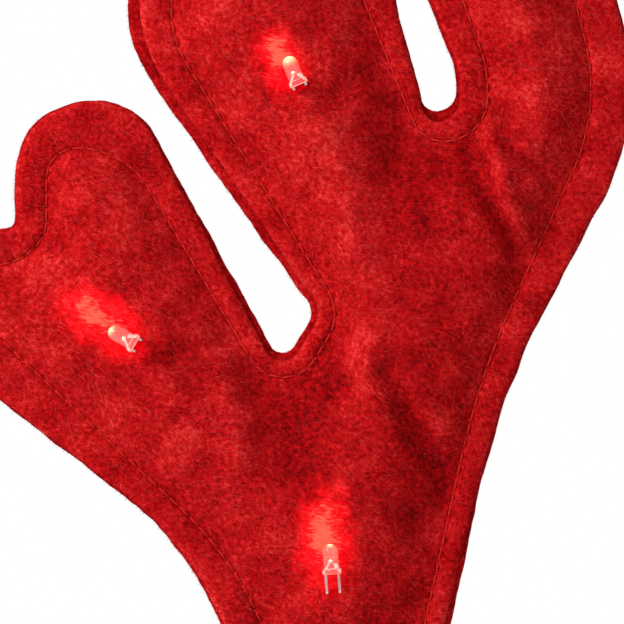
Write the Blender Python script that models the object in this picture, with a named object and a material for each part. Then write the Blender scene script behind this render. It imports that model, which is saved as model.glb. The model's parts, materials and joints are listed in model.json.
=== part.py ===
"""Light-up reindeer antler headband.

Two padded felt antlers stand on felt cuffs round a plain felt covered head band. Each antler
is a front and a back layer of felt, topstitched together round a soft filling, and three clear
lamps lie on its front layer, with their leads going in through the felt. Metres, +Z up, the
front faces -Y, and the band stands on its two tips with the origin midway between them.
"""

import math

import bmesh
import bpy
import numpy as np
from mathutils import Vector
from mathutils.geometry import delaunay_2d_cdt

MM = 0.001

# Sizes in millimetres. CLEARANCE is the gap that touching pieces keep.
CLEARANCE = 0.3

# Head band: a half round crown on two legs that bend in towards the head
BAND_INNER_RADIUS = 68.0
BAND_WALL = 3.5
BAND_DEPTH = 24.0
BAND_EDGE = 0.9
LEG_HEIGHT = 60.0
LEG_BEND_RADIUS = 200.0

# Felt cuffs that hold the antlers on the band
CUFF_WALL = 1.2
CUFF_LENGTH = 46.0
CUFF_ANGLE = 48.0

# Antlers
ANTLER_SPAN = 155.0
ANTLER_HEIGHT = 194.0
TINE_WIDTH = 28.0
FELT_WALL = 1.6
SEAM_ALLOWANCE = 6.5
BACK_EDGE_SHOWS = 0.8
PUFF_HEIGHT = 6.5
PUFF_REACH = 9.0
PUFF_RING = 2.8

# Lamps: clear domed bodies with a rim, on two wire leads
LAMP_DIAMETER = 3.0
LAMP_RIM_DIAMETER = 3.8
LAMP_RIM_THICKNESS = 1.0
LAMP_LENGTH = 5.9
LEAD_DIAMETER = 0.5
LEAD_PITCH = 2.54
LEAD_BEND = 0.7

# How finely curves and the felt are divided
ARC_TOLERANCE = 0.25
ARC_STEP = math.radians(30)
LONGEST_STEP = 13.0
FELT_GRID = 10.0
BAND_STEPS = 30
LEG_STEPS = 6
CUFF_STEPS = 10
LAMP_SIDES = 12
LEAD_SIDES = 6

# The antler seen from the front, leaning to the viewer's left, from the middle of its foot.
# across and up: shares of the span and height. round: corner radius, a share of the tine
# width. allowance: from the cut edge in to the seam, a share of the seam allowance.
CORNERS = (
    ("foot_outer", -0.010, -0.178, 0.07, 1.00),
    ("crotch", -0.267, 0.284, 2.18, 1.00),
    ("side_tip_low", -0.735, 0.571, 0.46, 1.36),
    ("side_tip_top", -0.630, 0.678, 0.46, 1.15),
    ("notch_low", -0.510, 0.602, 0.13, 1.81),
    ("notch_high", -0.482, 0.604, 0.04, 1.03),
    ("lean_tip_left", -0.482, 0.732, 0.53, 1.21),
    ("lean_tip_right", -0.328, 0.732, 0.49, 1.15),
    ("wide_gap_low", -0.143, 0.464, 0.09, 0.75),
    ("wide_gap_bulge", -0.102, 0.517, 0.15, 0.75),
    ("main_tip_side", -0.339, 0.783, 1.05, 1.45),
    ("main_tip_left", -0.339, 1.000, 0.83, 1.51),
    ("main_tip_right", -0.053, 1.000, 0.83, 1.21),
    ("slit_left", 0.038, 0.722, 0.10, 0.78),
    ("slit_right", 0.077, 0.722, 0.13, 0.97),
    ("slit_wall", 0.077, 0.760, 0.56, 0.94),
    ("inner_tip_left", -0.020, 0.962, 0.63, 1.06),
    ("inner_tip_right", 0.233, 0.962, 0.63, 1.06),
    ("inner_bulge", 0.325, 0.720, 1.75, 1.15),
    ("inner_hollow", 0.134, 0.436, 5.43, 0.72),
    ("stem_hollow", 0.053, 0.131, 1.65, 0.81),
    ("foot_inner", 0.210, -0.178, 0.07, 0.81),
)

# Folds in the front felt, from start to end, as shares of the span and height. width is a
# share of the tine width, and depth a share of the puff, less than nothing for a ridge.
FOLDS = (
    ("finger_ridge", 0.116, 0.706, 0.140, 0.610, 0.13, -0.22),
    ("finger_valley", 0.090, 0.691, 0.118, 0.616, 0.12, 0.30),
    ("bulge_valley", 0.124, 0.703, 0.199, 0.650, 0.12, 0.26),
    ("palm_ridge", -0.063, 0.530, -0.013, 0.398, 0.25, -0.18),
    ("palm_valley", -0.024, 0.465, 0.044, 0.383, 0.20, 0.28),
    ("stem_dip", -0.105, 0.417, -0.054, 0.337, 0.30, 0.16),
)

# Lamps on the front felt. across and up place the middle of the rim, turn is the lean of the
# lamp to the viewer's left in degrees, and bare is how much lead shows, in lamp lengths.
LAMPS = (
    ("low", -0.0797, 0.2537, 4.5, 0.62),
    ("side", -0.3276, 0.4851, 60.0, 0.16),
    ("top", -0.1214, 0.7465, 23.0, 0.16),
)

# name: base colour, roughness, metallic
FINISHES = {
    "red_felt": ((0.52, 0.012, 0.014), 0.95, 0.0),
    "red_felt_back": ((0.34, 0.006, 0.010), 0.95, 0.0),
    "white_filling": ((0.82, 0.82, 0.80), 0.98, 0.0),
    "clear_lamp": ((0.95, 0.62, 0.45), 0.08, 0.0),
    "tinned_wire": ((0.62, 0.61, 0.60), 0.30, 1.0),
}

SIDES = (("left", 1), ("right", -1))
CUFF_INNER_RADIUS = BAND_INNER_RADIUS + BAND_WALL + CLEARANCE
CUFF_OUTER_RADIUS = CUFF_INNER_RADIUS + CUFF_WALL
FOOT_RADIUS = CUFF_OUTER_RADIUS + CLEARANCE
FOOT_TURN = math.radians(CUFF_ANGLE)
# The middle of the foot from the crown's centre, and the crown's centre above the tips
FOOT_ACROSS = -FOOT_RADIUS * math.sin(FOOT_TURN)
FOOT_UP = FOOT_RADIUS * math.cos(FOOT_TURN)


def clear_scene():
    for old in list(bpy.data.objects):
        bpy.data.objects.remove(old, do_unlink=True)


def finish(name):
    """The named material, made once."""
    known = bpy.data.materials.get(name)
    if known:
        return known
    colour, roughness, metallic = FINISHES[name]
    material = bpy.data.materials.new(name)
    material.use_nodes = True
    shader = material.node_tree.nodes["Principled BSDF"]
    shader.inputs["Base Color"].default_value = (*colour, 1.0)
    shader.inputs["Roughness"].default_value = roughness
    shader.inputs["Metallic"].default_value = metallic
    return material


def make_object(name, points, faces, material, side=1):
    """A closed mesh from points in millimetres. Side -1 mirrors it to the other antler."""
    mesh = bpy.data.meshes.new(name)
    mesh.from_pydata([(side * x * MM, y * MM, z * MM) for x, y, z in points], [], faces)
    shape = bmesh.new()
    shape.from_mesh(mesh)
    bmesh.ops.recalc_face_normals(shape, faces=shape.faces)
    shape.to_mesh(mesh)
    shape.free()
    mesh.materials.append(finish(material))
    mesh.shade_smooth()
    mesh.set_sharp_from_angle(angle=math.radians(40))
    obj = bpy.data.objects.new(name, mesh)
    bpy.context.scene.collection.objects.link(obj)
    return obj


def loft(rings):
    """Points and faces of a solid that runs through rings with as many points each."""
    count = len(rings[0])
    points = [point for ring in rings for point in ring]
    faces = [tuple(range(count)), tuple(range(len(points) - count, len(points)))]
    for start in range(0, len(points) - count, count):
        for i in range(count):
            j = (i + 1) % count
            faces.append((start + i, start + j, start + count + j, start + count + i))
    return points, faces


def sleeve(outer, inner):
    """Points and faces of an open ended sleeve between two lofts with the same rings."""
    count = len(outer[0])
    points = [point for ring in outer + inner for point in ring]
    shift = len(outer) * count
    faces = []
    for i in range(count):
        j = (i + 1) % count
        for row in range(len(outer) - 1):
            a, b = row * count, (row + 1) * count
            faces.append((a + i, a + j, b + j, b + i))
            faces.append((shift + a + i, shift + a + j, shift + b + j, shift + b + i))
        for end in (0, shift - count):
            faces.append((end + i, end + j, shift + end + j, shift + end + i))
    return points, faces


def band_section(low, high, half_depth, edge):
    """Corners, as (radial, y), of a flat section with its four long edges cut off."""
    return (
        (low + edge, -half_depth),
        (high - edge, -half_depth),
        (high, -half_depth + edge),
        (high, half_depth - edge),
        (high - edge, half_depth),
        (low + edge, half_depth),
        (low, half_depth - edge),
        (low, -half_depth + edge),
    )


def crown_ring(section, turn):
    """A section of the crown, turned from upright towards the viewer's left."""
    return [
        (-radius * math.sin(turn), y, LEG_HEIGHT + radius * math.cos(turn))
        for radius, y in section
    ]


def leg_ring(section, share, side):
    """A section of a leg at a share of its height, level with the floor."""
    height = LEG_HEIGHT * share
    drop = LEG_HEIGHT - height
    ring = []
    for radius, y in section:
        # Both faces of the leg bend about one centre, on the head's side.
        bend = LEG_BEND_RADIUS + radius - BAND_INNER_RADIUS
        inward = bend - math.sqrt(bend**2 - drop**2)
        ring.append((side * (radius - inward), y, height))
    return ring


def make_band():
    section = band_section(
        BAND_INNER_RADIUS, BAND_INNER_RADIUS + BAND_WALL, BAND_DEPTH / 2, BAND_EDGE
    )
    left = [leg_ring(section, i / LEG_STEPS, -1) for i in range(LEG_STEPS)]
    crown = [
        crown_ring(section, math.pi * (0.5 - i / BAND_STEPS)) for i in range(BAND_STEPS + 1)
    ]
    right = [leg_ring(section, i / LEG_STEPS, 1) for i in reversed(range(LEG_STEPS))]
    return make_object("head_band", *loft(left + crown + right), "red_felt")


def make_cuff(name, side):
    half_depth = BAND_DEPTH / 2 + CLEARANCE
    inner = band_section(
        BAND_INNER_RADIUS - CLEARANCE, CUFF_INNER_RADIUS, half_depth, BAND_EDGE
    )
    outer = band_section(
        BAND_INNER_RADIUS - CLEARANCE - CUFF_WALL,
        CUFF_OUTER_RADIUS,
        half_depth + CUFF_WALL,
        BAND_EDGE + CUFF_WALL / 2,
    )
    half_turn = CUFF_LENGTH / 2 / CUFF_OUTER_RADIUS
    turns = [
        FOOT_TURN + half_turn * (2 * i / CUFF_STEPS - 1) for i in range(CUFF_STEPS + 1)
    ]
    rings = ([crown_ring(section, turn) for turn in turns] for section in (outer, inner))
    return make_object(name, *sleeve(*rings), "red_felt", side)


def unit(vector):
    return vector / np.hypot(*vector)


def cross(a, b):
    """Cross product of flat vectors: more than nothing where b turns left of a."""
    return a[0] * b[1] - a[1] * b[0]


def offset_corners(corners, insets):
    """The corners moved in by an inset at each, along both edges that meet there."""
    moved = []
    count = len(corners)
    for i in range(count):
        lines = []
        for first in ((i - 1) % count, i):
            second = (first + 1) % count
            along = unit(corners[second] - corners[first])
            inward = np.array((along[1], -along[0]))
            start = corners[first] + inward * insets[first]
            lines.append((start, corners[second] + inward * insets[second] - start))
        (a, p), (b, q) = lines
        share = cross(b - a, q) / cross(p, q)
        moved.append(a + p * share)
    return np.array(moved)


def rounded(corners, radii):
    """Points of a closed outline whose corners are arcs, none longer than its edges allow."""
    count = len(corners)
    edges = [corners[(i + 1) % count] - corners[i] for i in range(count)]
    lengths = [np.hypot(*edge) for edge in edges]
    turns = []
    for i in range(count):
        before, after = edges[i - 1], edges[i]
        turns.append(math.atan2(cross(before, after), np.dot(before, after)))
    tangents = [
        max(radius, ARC_TOLERANCE) * math.tan(abs(turn) / 2)
        for radius, turn in zip(radii, turns)
    ]
    fits = [
        min(1.0, 0.999 * lengths[i] / (tangents[i] + tangents[(i + 1) % count]))
        for i in range(count)
    ]
    points = []
    for i in range(count):
        tangent = tangents[i] * min(fits[i - 1], fits[i])
        radius = tangent / math.tan(abs(turns[i]) / 2)
        start = corners[i] - edges[i - 1] / lengths[i - 1] * tangent
        step = min(ARC_STEP, 2 * math.acos(1 - ARC_TOLERANCE / max(radius, 1.0)))
        steps = max(1, math.ceil(abs(turns[i]) / step))
        heading = math.atan2(*edges[i - 1][::-1])
        chord = 2 * radius * math.sin(abs(turns[i]) / steps / 2)
        arc = [start]
        for k in range(steps):
            bearing = heading + turns[i] * (k + 0.5) / steps
            arc.append(arc[-1] + chord * np.array((math.cos(bearing), math.sin(bearing))))
        points.extend(arc)
    return divided(points)


def divided(points):
    """A closed outline with no step over the longest allowed."""
    result = []
    for i, start in enumerate(points):
        end = points[(i + 1) % len(points)]
        steps = max(1, math.ceil(np.hypot(*(end - start)) / LONGEST_STEP))
        result.extend(start + (end - start) * k / steps for k in range(steps))
    return result


def above_foot(points):
    """The stretch of a closed outline outside the cuff's clearance, ending on its circle."""
    centre = np.array((-FOOT_ACROSS, -FOOT_UP))
    reach = [np.hypot(*(point - centre)) for point in points]
    count = len(points)
    first = next(
        i for i in range(count) if reach[i - 1] < FOOT_RADIUS <= reach[i]
    )
    kept = []
    while reach[first % count] >= FOOT_RADIUS:
        kept.append(points[first % count])
        first += 1

    def crossing(outside, inside):
        far, near = np.hypot(*(outside - centre)), np.hypot(*(inside - centre))
        point = outside + (inside - outside) * (far - FOOT_RADIUS) / (far - near)
        return centre + unit(point - centre) * FOOT_RADIUS

    begin = crossing(kept[0], points[(first - len(kept) - 1) % count])
    return [begin, *kept, crossing(kept[-1], points[first % count])]


def foot_arc(start, end, stops):
    """Points along the foot from start to end, both left out, that pass through the stops."""
    centre = np.array((-FOOT_ACROSS, -FOOT_UP))

    def turn(point):
        return math.atan2(*(point - centre)[::-1])

    downhill = turn(start) > turn(end)
    marks = [turn(start), *sorted(map(turn, stops), reverse=downhill), turn(end)]
    result = []
    for a, b in zip(marks, marks[1:]):
        steps = max(1, math.ceil(abs(b - a) * FOOT_RADIUS / (LONGEST_STEP / 2)))
        result.extend(a + (b - a) * k / steps for k in range(steps))
    return [
        centre + FOOT_RADIUS * np.array((math.cos(t), math.sin(t))) for t in result[1:]
    ]


def distance_to_path(points, path):
    """Distance of each point to an open path."""
    path = np.asarray(path)
    starts, steps = path[:-1], np.diff(path, axis=0)
    away = points[:, None] - starts[None]
    share = (away * steps).sum(-1) / (steps**2).sum(-1)
    nearest = away - np.clip(share, 0, 1)[..., None] * steps
    return np.sqrt((nearest**2).sum(-1)).min(axis=1)


def inside(points, outline):
    """Whether each point lies inside a closed outline."""
    outline = np.asarray(outline)
    (x0, y0), (x1, y1) = outline.T, np.roll(outline, -1, axis=0).T
    x, y = points[:, :1], points[:, 1:]
    spans = (y0 > y) != (y1 > y)
    rise = np.where(y1 == y0, 1.0, y1 - y0)
    return (spans & (x < x0 + (x1 - x0) * (y - y0) / rise)).sum(axis=1) % 2 == 1


def in_span(across, up):
    return np.array((across * ANTLER_SPAN, up * ANTLER_HEIGHT))


class AntlerShape:
    """One antler's felt, flat: its points, triangles and how high each point is puffed up.

    Points are millimetres from the middle of the foot, across and up.
    """

    def __init__(self):
        corners = np.array([in_span(row[1], row[2]) for row in CORNERS])
        radii = np.array([row[3] for row in CORNERS]) * TINE_WIDTH
        allowances = np.array([row[4] for row in CORNERS]) * SEAM_ALLOWANCE
        self.seam = above_foot(self.ring(corners, radii, allowances))
        self.puffed = above_foot(self.ring(corners, radii, allowances + PUFF_RING))
        edge = above_foot(self.ring(corners, radii, 0 * allowances))
        stops = [self.seam[0], self.puffed[0], self.puffed[-1], self.seam[-1]]
        self.outline = edge + foot_arc(edge[-1], edge[0], stops)
        self.foot_start = len(edge)
        self.fill_in()

    @staticmethod
    def ring(corners, radii, insets):
        """A rounded outline set in from the cut edge."""
        before = np.roll(corners, 1, axis=0) - corners
        after = np.roll(corners, -1, axis=0) - corners
        outward_corner = cross(before.T, after.T) > 0
        turned = np.where(outward_corner, -insets, insets)
        return rounded(offset_corners(corners, insets), np.maximum(radii + turned, 0))

    def grid(self):
        """Points spread evenly over the puffed part, clear of its rings and folds."""
        low, high = np.min(self.outline, axis=0), np.max(self.outline, axis=0)
        rows = []
        for j in range(int((high[1] - low[1]) / FELT_GRID / math.sin(math.pi / 3)) + 1):
            y = low[1] + j * FELT_GRID * math.sin(math.pi / 3)
            for i in range(int((high[0] - low[0]) / FELT_GRID) + 1):
                rows.append((low[0] + (i + 0.5 * (j % 2)) * FELT_GRID, y))
        rows = np.array(rows)
        closed = self.puffed + [self.puffed[0]]
        clear = distance_to_path(rows, closed) > 0.5 * FELT_GRID
        return rows[clear & inside(rows, self.puffed)]

    def fold_points(self):
        """Points along each fold and beside it, so that the felt bends there."""
        points = []
        for _, x0, y0, x1, y1, width, _ in FOLDS:
            start, end = in_span(x0, y0), in_span(x1, y1)
            along = end - start
            beside = unit(np.array((along[1], -along[0]))) * width * TINE_WIDTH
            steps = max(1, round(np.hypot(*along) / (0.6 * FELT_GRID)))
            for k in range(steps + 1):
                middle = start + along * k / steps
                points.extend((middle, middle + beside, middle - beside))
        points = np.array(points)
        clear = distance_to_path(points, self.puffed) > 0.2 * FELT_GRID
        return points[clear & inside(points, self.puffed)]

    def fill_in(self):
        """Triangulates the felt between its rings."""
        folds = self.fold_points()
        grid = self.grid()
        away = np.hypot(*(grid[:, None] - folds[None]).T).min(axis=0)
        grid = grid[away > 0.45 * FELT_GRID]
        given = [*self.outline, *self.seam, *self.puffed, *folds, *grid]
        edges = []
        start = len(self.outline)
        for path in (self.seam, self.puffed):
            edges.extend((start + i, start + i + 1) for i in range(len(path) - 1))
            start += len(path)
        points, _, faces, sources, _, _ = delaunay_2d_cdt(
            [Vector(point) for point in given],
            edges,
            [list(range(len(self.outline)))],
            1,
            1e-4,
        )
        self.points = np.array(points)
        self.faces = [tuple(face) for face in faces]
        place = {old: new for new, olds in enumerate(sources) for old in olds}
        self.rim = [place[i] for i in range(len(self.outline))]
        loop = [*self.seam, self.seam[0]]
        centres = inside(self.points, loop)
        depth = distance_to_path(self.points, self.seam)
        self.depth = np.where(centres | (depth < 1e-3), depth, 0.0)
        for i in self.rim[self.foot_start:]:
            between = self.between_seams(self.points[i])
            self.depth[i] = depth[i] if between else 0.0
        self.plain_puff = PUFF_HEIGHT * (1 - np.exp(-self.depth / PUFF_REACH))
        self.front_puff = self.plain_puff + self.folded(self.points, self.depth)

    def between_seams(self, point):
        """Whether a point on the foot's arc lies between the two ends of the seam."""
        first, last = self.seam[0], self.seam[-1]
        along = last - first
        return 0 <= np.dot(point - first, along) <= np.dot(along, along)

    @staticmethod
    def folded(points, depth):
        """How far the folds raise or sink the front felt, fading out at the seam."""
        change = np.zeros(len(points))
        for _, x0, y0, x1, y1, width, share in FOLDS:
            away = distance_to_path(points, [in_span(x0, y0), in_span(x1, y1)])
            change -= share * PUFF_HEIGHT * np.exp(-((away / (width * TINE_WIDTH)) ** 2))
        return change * (1 - np.exp(-depth / PUFF_RING))

    def rise(self, point):
        """Height of the front felt's outer face at a point, read from its triangles."""
        for face in self.faces:
            a, b, c = (self.points[i] for i in face)
            whole = cross(b - a, c - a)
            shares = (
                cross(b - point, c - point) / whole,
                cross(c - point, a - point) / whole,
                cross(a - point, b - point) / whole,
            )
            if min(shares) >= -1e-6:
                puff = sum(share * self.front_puff[i] for share, i in zip(shares, face))
                return CLEARANCE / 2 + puff + FELT_WALL
        return CLEARANCE / 2 + FELT_WALL

    def front_points(self):
        """The felt's points with the cut edge drawn in, so that the back layer shows past it."""
        drawn = self.points.copy()
        count = self.foot_start
        for i in range(1, count - 1):
            here = self.outline[i]
            along = unit(self.outline[i + 1] - self.outline[i - 1])
            drawn[self.rim[i]] = here + np.array((along[1], -along[0])) * BACK_EDGE_SHOWS
        for end, inner in ((0, -1), (count - 1, count)):
            towards = unit(self.outline[inner] - self.outline[end])
            drawn[self.rim[end]] = self.outline[end] + towards * BACK_EDGE_SHOWS
        return drawn


def to_world(point, y):
    """A flat antler point at a depth y, in the object's frame."""
    return (FOOT_ACROSS + point[0], y, LEG_HEIGHT + FOOT_UP + point[1])


def slab(points, faces, near, far):
    """Points and faces of a sheet whose two sides lie at depths near and far."""
    count = len(points)
    solid = [to_world(point, y) for point, y in zip(points, near)]
    solid += [to_world(point, y) for point, y in zip(points, far)]
    sides = {}
    for a, b, c in faces:
        for start, end in ((a, b), (b, c), (c, a)):
            sides[(start, end)] = True
    sheet = [tuple(face) for face in faces]
    sheet += [tuple(count + i for i in reversed(face)) for face in faces]
    for start, end in sides:
        if (end, start) not in sides:
            sheet.append((end, start, count + start))
            sheet.append((end, count + start, count + end))
    return solid, sheet


def only_used(points, faces, *columns):
    """The points that the faces use, with the faces and columns to match."""
    used = sorted({i for face in faces for i in face})
    place = {old: new for new, old in enumerate(used)}
    renamed = [tuple(place[i] for i in face) for face in faces]
    return (points[used], renamed, *(column[used] for column in columns))


def make_felt(name, shape, facing, side):
    """The front layer faces -1 and the back layer 1. It is puffed up inside its seam."""
    points = shape.front_points() if facing < 0 else shape.points
    puff = shape.front_puff if facing < 0 else shape.plain_puff
    near = facing * (CLEARANCE / 2 + puff)
    far = near + facing * FELT_WALL
    finish_name = "red_felt" if facing < 0 else "red_felt_back"
    return make_object(name, *slab(points, shape.faces, near, far), finish_name, side)


def largest_sheet(faces):
    """The largest group of triangles that join edge to edge."""
    owners = {}
    for number, face in enumerate(faces):
        for start, end in zip(face, face[1:] + face[:1]):
            owners.setdefault(frozenset((start, end)), []).append(number)
    groups = []
    seen = set()
    for first in range(len(faces)):
        if first in seen:
            continue
        seen.add(first)
        group = [first]
        for number in group:
            face = faces[number]
            for start, end in zip(face, face[1:] + face[:1]):
                for other in owners[frozenset((start, end))]:
                    if other not in seen:
                        seen.add(other)
                        group.append(other)
        groups.append(group)
    return [faces[number] for number in max(groups, key=len)]


def make_filling(name, shape, side):
    """The soft filling, clear of both layers, over the part that is well inside the seam."""
    least = PUFF_RING / 2
    faces = [face for face in shape.faces if min(shape.depth[i] for i in face) > least]
    faces = largest_sheet(faces)
    points, faces, front, back = only_used(
        shape.points, faces, shape.front_puff, shape.plain_puff
    )
    return make_object(
        name,
        *slab(points, faces, CLEARANCE / 2 - front, back - CLEARANCE / 2),
        "white_filling",
        side,
    )


def frame_across(axis):
    """Two directions square to an axis, the first along the felt and the second out of it."""
    beside = axis.cross(Vector((0, -1, 0))).normalized()
    return beside, beside.cross(axis).normalized()


def ring_about(centre, axis, radius, sides):
    """Corners of a circle about an axis."""
    beside, outward = frame_across(axis)
    turns = (2 * math.pi * k / sides for k in range(sides))
    return [
        centre + radius * (math.cos(turn) * beside + math.sin(turn) * outward)
        for turn in turns
    ]


class Lamp:
    """Where a lamp lies on the front felt: the middle of its base and its axis."""

    def __init__(self, shape, across, up, turn, bare):
        flat = in_span(across, up)
        lean = math.radians(turn)
        heading = np.array((-math.sin(lean), math.cos(lean)))
        seat = LAMP_RIM_DIAMETER / 2 + CLEARANCE
        rises = [shape.rise(flat + heading * LAMP_LENGTH * k / 4) for k in range(5)]
        slope = (rises[-1] - rises[0]) / LAMP_LENGTH
        proud = max(
            rise - rises[0] - slope * LAMP_LENGTH * k / 4 for k, rise in enumerate(rises)
        )
        self.base = Vector(to_world(flat, -(rises[0] + proud + seat)))
        self.axis = Vector((heading[0], -slope, heading[1])).normalized()
        self.bare = bare * LAMP_LENGTH
        self.entry = self.base - self.axis * (self.bare + CLEARANCE + LEAD_BEND)
        entry_flat = flat - heading * (self.bare + CLEARANCE + LEAD_BEND)
        self.felt = shape.rise(entry_flat)

    def profile(self):
        """Stations of the clear body, as distance from the base and radius."""
        radius = LAMP_DIAMETER / 2
        rim = LAMP_RIM_DIAMETER / 2
        shoulder = LAMP_LENGTH - radius
        dome = [
            (shoulder + radius * math.sin(turn), radius * math.cos(turn))
            for turn in (math.radians(30), math.radians(58), math.radians(80))
        ]
        return [
            (0, rim),
            (LAMP_RIM_THICKNESS, rim),
            (LAMP_RIM_THICKNESS, radius),
            (shoulder, radius),
            *dome,
        ]

    def body(self):
        return loft([
            ring_about(self.base + self.axis * along, self.axis, radius, LAMP_SIDES)
            for along, radius in self.profile()
        ])

    def lead(self, hand):
        """One lead: back from the base along the felt, then down into it."""
        beside, _ = frame_across(self.axis)
        start = self.base - self.axis * CLEARANCE + beside * hand * LEAD_PITCH / 2
        down = Vector((0, 1, 0))
        back = -self.axis
        bend_at = start + back * self.bare
        route = [(start, back)]
        for k in range(3):
            turn = math.pi / 4 * k
            place = bend_at + LEAD_BEND * (math.sin(turn) * back + (1 - math.cos(turn)) * down)
            route.append((place, (math.cos(turn) * back + math.sin(turn) * down).normalized()))
        end = route[-1][0].copy()
        end.y = -(self.felt - FELT_WALL + CLEARANCE)
        route.append((end, down))
        rings = []
        for centre, heading in route:
            outward = beside.cross(heading).normalized()
            rings.append([
                centre + LEAD_DIAMETER / 2 * (
                    math.cos(2 * math.pi * k / LEAD_SIDES) * beside
                    + math.sin(2 * math.pi * k / LEAD_SIDES) * outward
                )
                for k in range(LEAD_SIDES)
            ])
        return loft(rings)

    def slot(self):
        """The cutter for the slot in the felt that both leads go through."""
        beside, _ = frame_across(self.axis)
        flat_back = Vector((self.axis.x, 0, self.axis.z)).normalized()
        half_wide = LEAD_PITCH / 2 + LEAD_DIAMETER / 2 + CLEARANCE
        half_long = LEAD_DIAMETER / 2 + CLEARANCE
        near, far = self.base.y, -(self.felt - 2 * FELT_WALL)
        rings = []
        for y in (near, far):
            centre = Vector((self.entry.x, y, self.entry.z))
            rings.append([
                centre + i * half_wide * beside + j * half_long * flat_back
                for i, j in ((-1, -1), (1, -1), (1, 1), (-1, 1))
            ])
        return loft(rings)


def cut_slot(felt, name, lamp, side):
    """Cuts a lamp's slot through the front felt."""
    cutter = make_object(name, *lamp.slot(), "tinned_wire", side)
    cutter.hide_render = True
    cutter.display_type = "WIRE"
    cut = felt.modifiers.new(name, "BOOLEAN")
    cut.operation = "DIFFERENCE"
    cut.object = cutter


def make_antler(shape, hand, side):
    holder = bpy.data.objects.new(f"{hand}_antler", None)
    bpy.context.scene.collection.objects.link(holder)
    front = make_felt(f"{hand}_antler_front_felt", shape, -1, side)
    made = [front, make_felt(f"{hand}_antler_back_felt", shape, 1, side)]
    made.append(make_filling(f"{hand}_antler_filling", shape, side))
    made.append(make_cuff(f"{hand}_cuff", side))
    for name, *place in LAMPS:
        lamp = Lamp(shape, *place)
        made.append(make_object(f"{hand}_{name}_lamp", *lamp.body(), "clear_lamp", side))
        for end, way in (("a", -1), ("b", 1)):
            lead_name = f"{hand}_{name}_lead_{end}"
            made.append(make_object(lead_name, *lamp.lead(way), "tinned_wire", side))
        cut_slot(front, f"{hand}_{name}_slot", lamp, side)
    for obj in made:
        obj.parent = holder


def main():
    clear_scene()
    make_band()
    shape = AntlerShape()
    for hand, side in SIDES:
        make_antler(shape, hand, side)


main()
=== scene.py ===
"""Looks of the light-up reindeer antler headband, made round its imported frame.

Each antler is two layers of fuzzy red felt, topstitched round a soft filling, with three lit
clear lamps on the front. The flat pattern is worked out in millimetres from the middle of the
antler's foot, and every mesh is written in metres in the frame's own axes.
"""

import json
import logging
import math
from dataclasses import dataclass, field
from enum import Enum
from typing import Any, Sequence

import bpy
import numpy as np
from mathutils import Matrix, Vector
from mathutils.geometry import delaunay_2d_cdt
from mathutils.kdtree import KDTree

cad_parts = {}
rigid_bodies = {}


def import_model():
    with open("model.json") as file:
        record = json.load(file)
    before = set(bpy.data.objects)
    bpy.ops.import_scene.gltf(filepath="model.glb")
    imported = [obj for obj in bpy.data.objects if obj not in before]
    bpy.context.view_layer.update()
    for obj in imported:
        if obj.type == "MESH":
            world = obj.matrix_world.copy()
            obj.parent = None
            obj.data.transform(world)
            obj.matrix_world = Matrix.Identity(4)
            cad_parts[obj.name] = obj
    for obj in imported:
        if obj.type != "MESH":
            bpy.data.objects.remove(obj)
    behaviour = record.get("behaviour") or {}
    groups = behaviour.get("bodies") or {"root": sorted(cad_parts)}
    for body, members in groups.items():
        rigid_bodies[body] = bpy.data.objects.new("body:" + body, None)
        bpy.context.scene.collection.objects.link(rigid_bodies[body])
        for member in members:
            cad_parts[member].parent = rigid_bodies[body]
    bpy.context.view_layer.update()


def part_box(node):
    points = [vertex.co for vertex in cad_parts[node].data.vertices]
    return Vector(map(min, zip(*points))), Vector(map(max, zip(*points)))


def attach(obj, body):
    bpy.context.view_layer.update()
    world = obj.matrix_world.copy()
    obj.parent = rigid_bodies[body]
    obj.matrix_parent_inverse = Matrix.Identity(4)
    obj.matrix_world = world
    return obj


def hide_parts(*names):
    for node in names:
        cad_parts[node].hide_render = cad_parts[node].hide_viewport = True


MM = 0.001
BODY = "root"
Colour = tuple[float, float, float]
Triangles = list[tuple[int, int, int]]
log = logging.getLogger("antler_headband")


class Facing(Enum):
    """The layer of an antler, as the sign of the depth that it faces."""

    FRONT = -1
    BACK = 1


class Hand(Enum):
    """The antler, as the viewer sees it, as the sign that keeps or mirrors x."""

    LEFT = 1
    RIGHT = -1

    @property
    def label(self) -> str:
        """The word that names of pieces start with."""
        return self.name.lower()


@dataclass(frozen=True)
class Corner:
    """A corner of the antler's outline, as shares of the pattern's sizes.

    across and up are shares of the span and height, turn is the corner's radius as a share of
    the tine width. allowance is the seam's distance from the cut edge that goes on from the
    corner, as a share of the seam allowance, and shows how far the back layer shows past the
    front one there, in millimetres. coming and showed are the same for the edge before, where
    they differ. ease is how much wider than the outline's the seam's turn is, as a share of
    the tine width.
    """

    name: str
    across: float
    up: float
    turn: float
    allowance: float
    shows: float
    coming: float | None = None
    showed: float | None = None
    ease: float = 0.0


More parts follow.
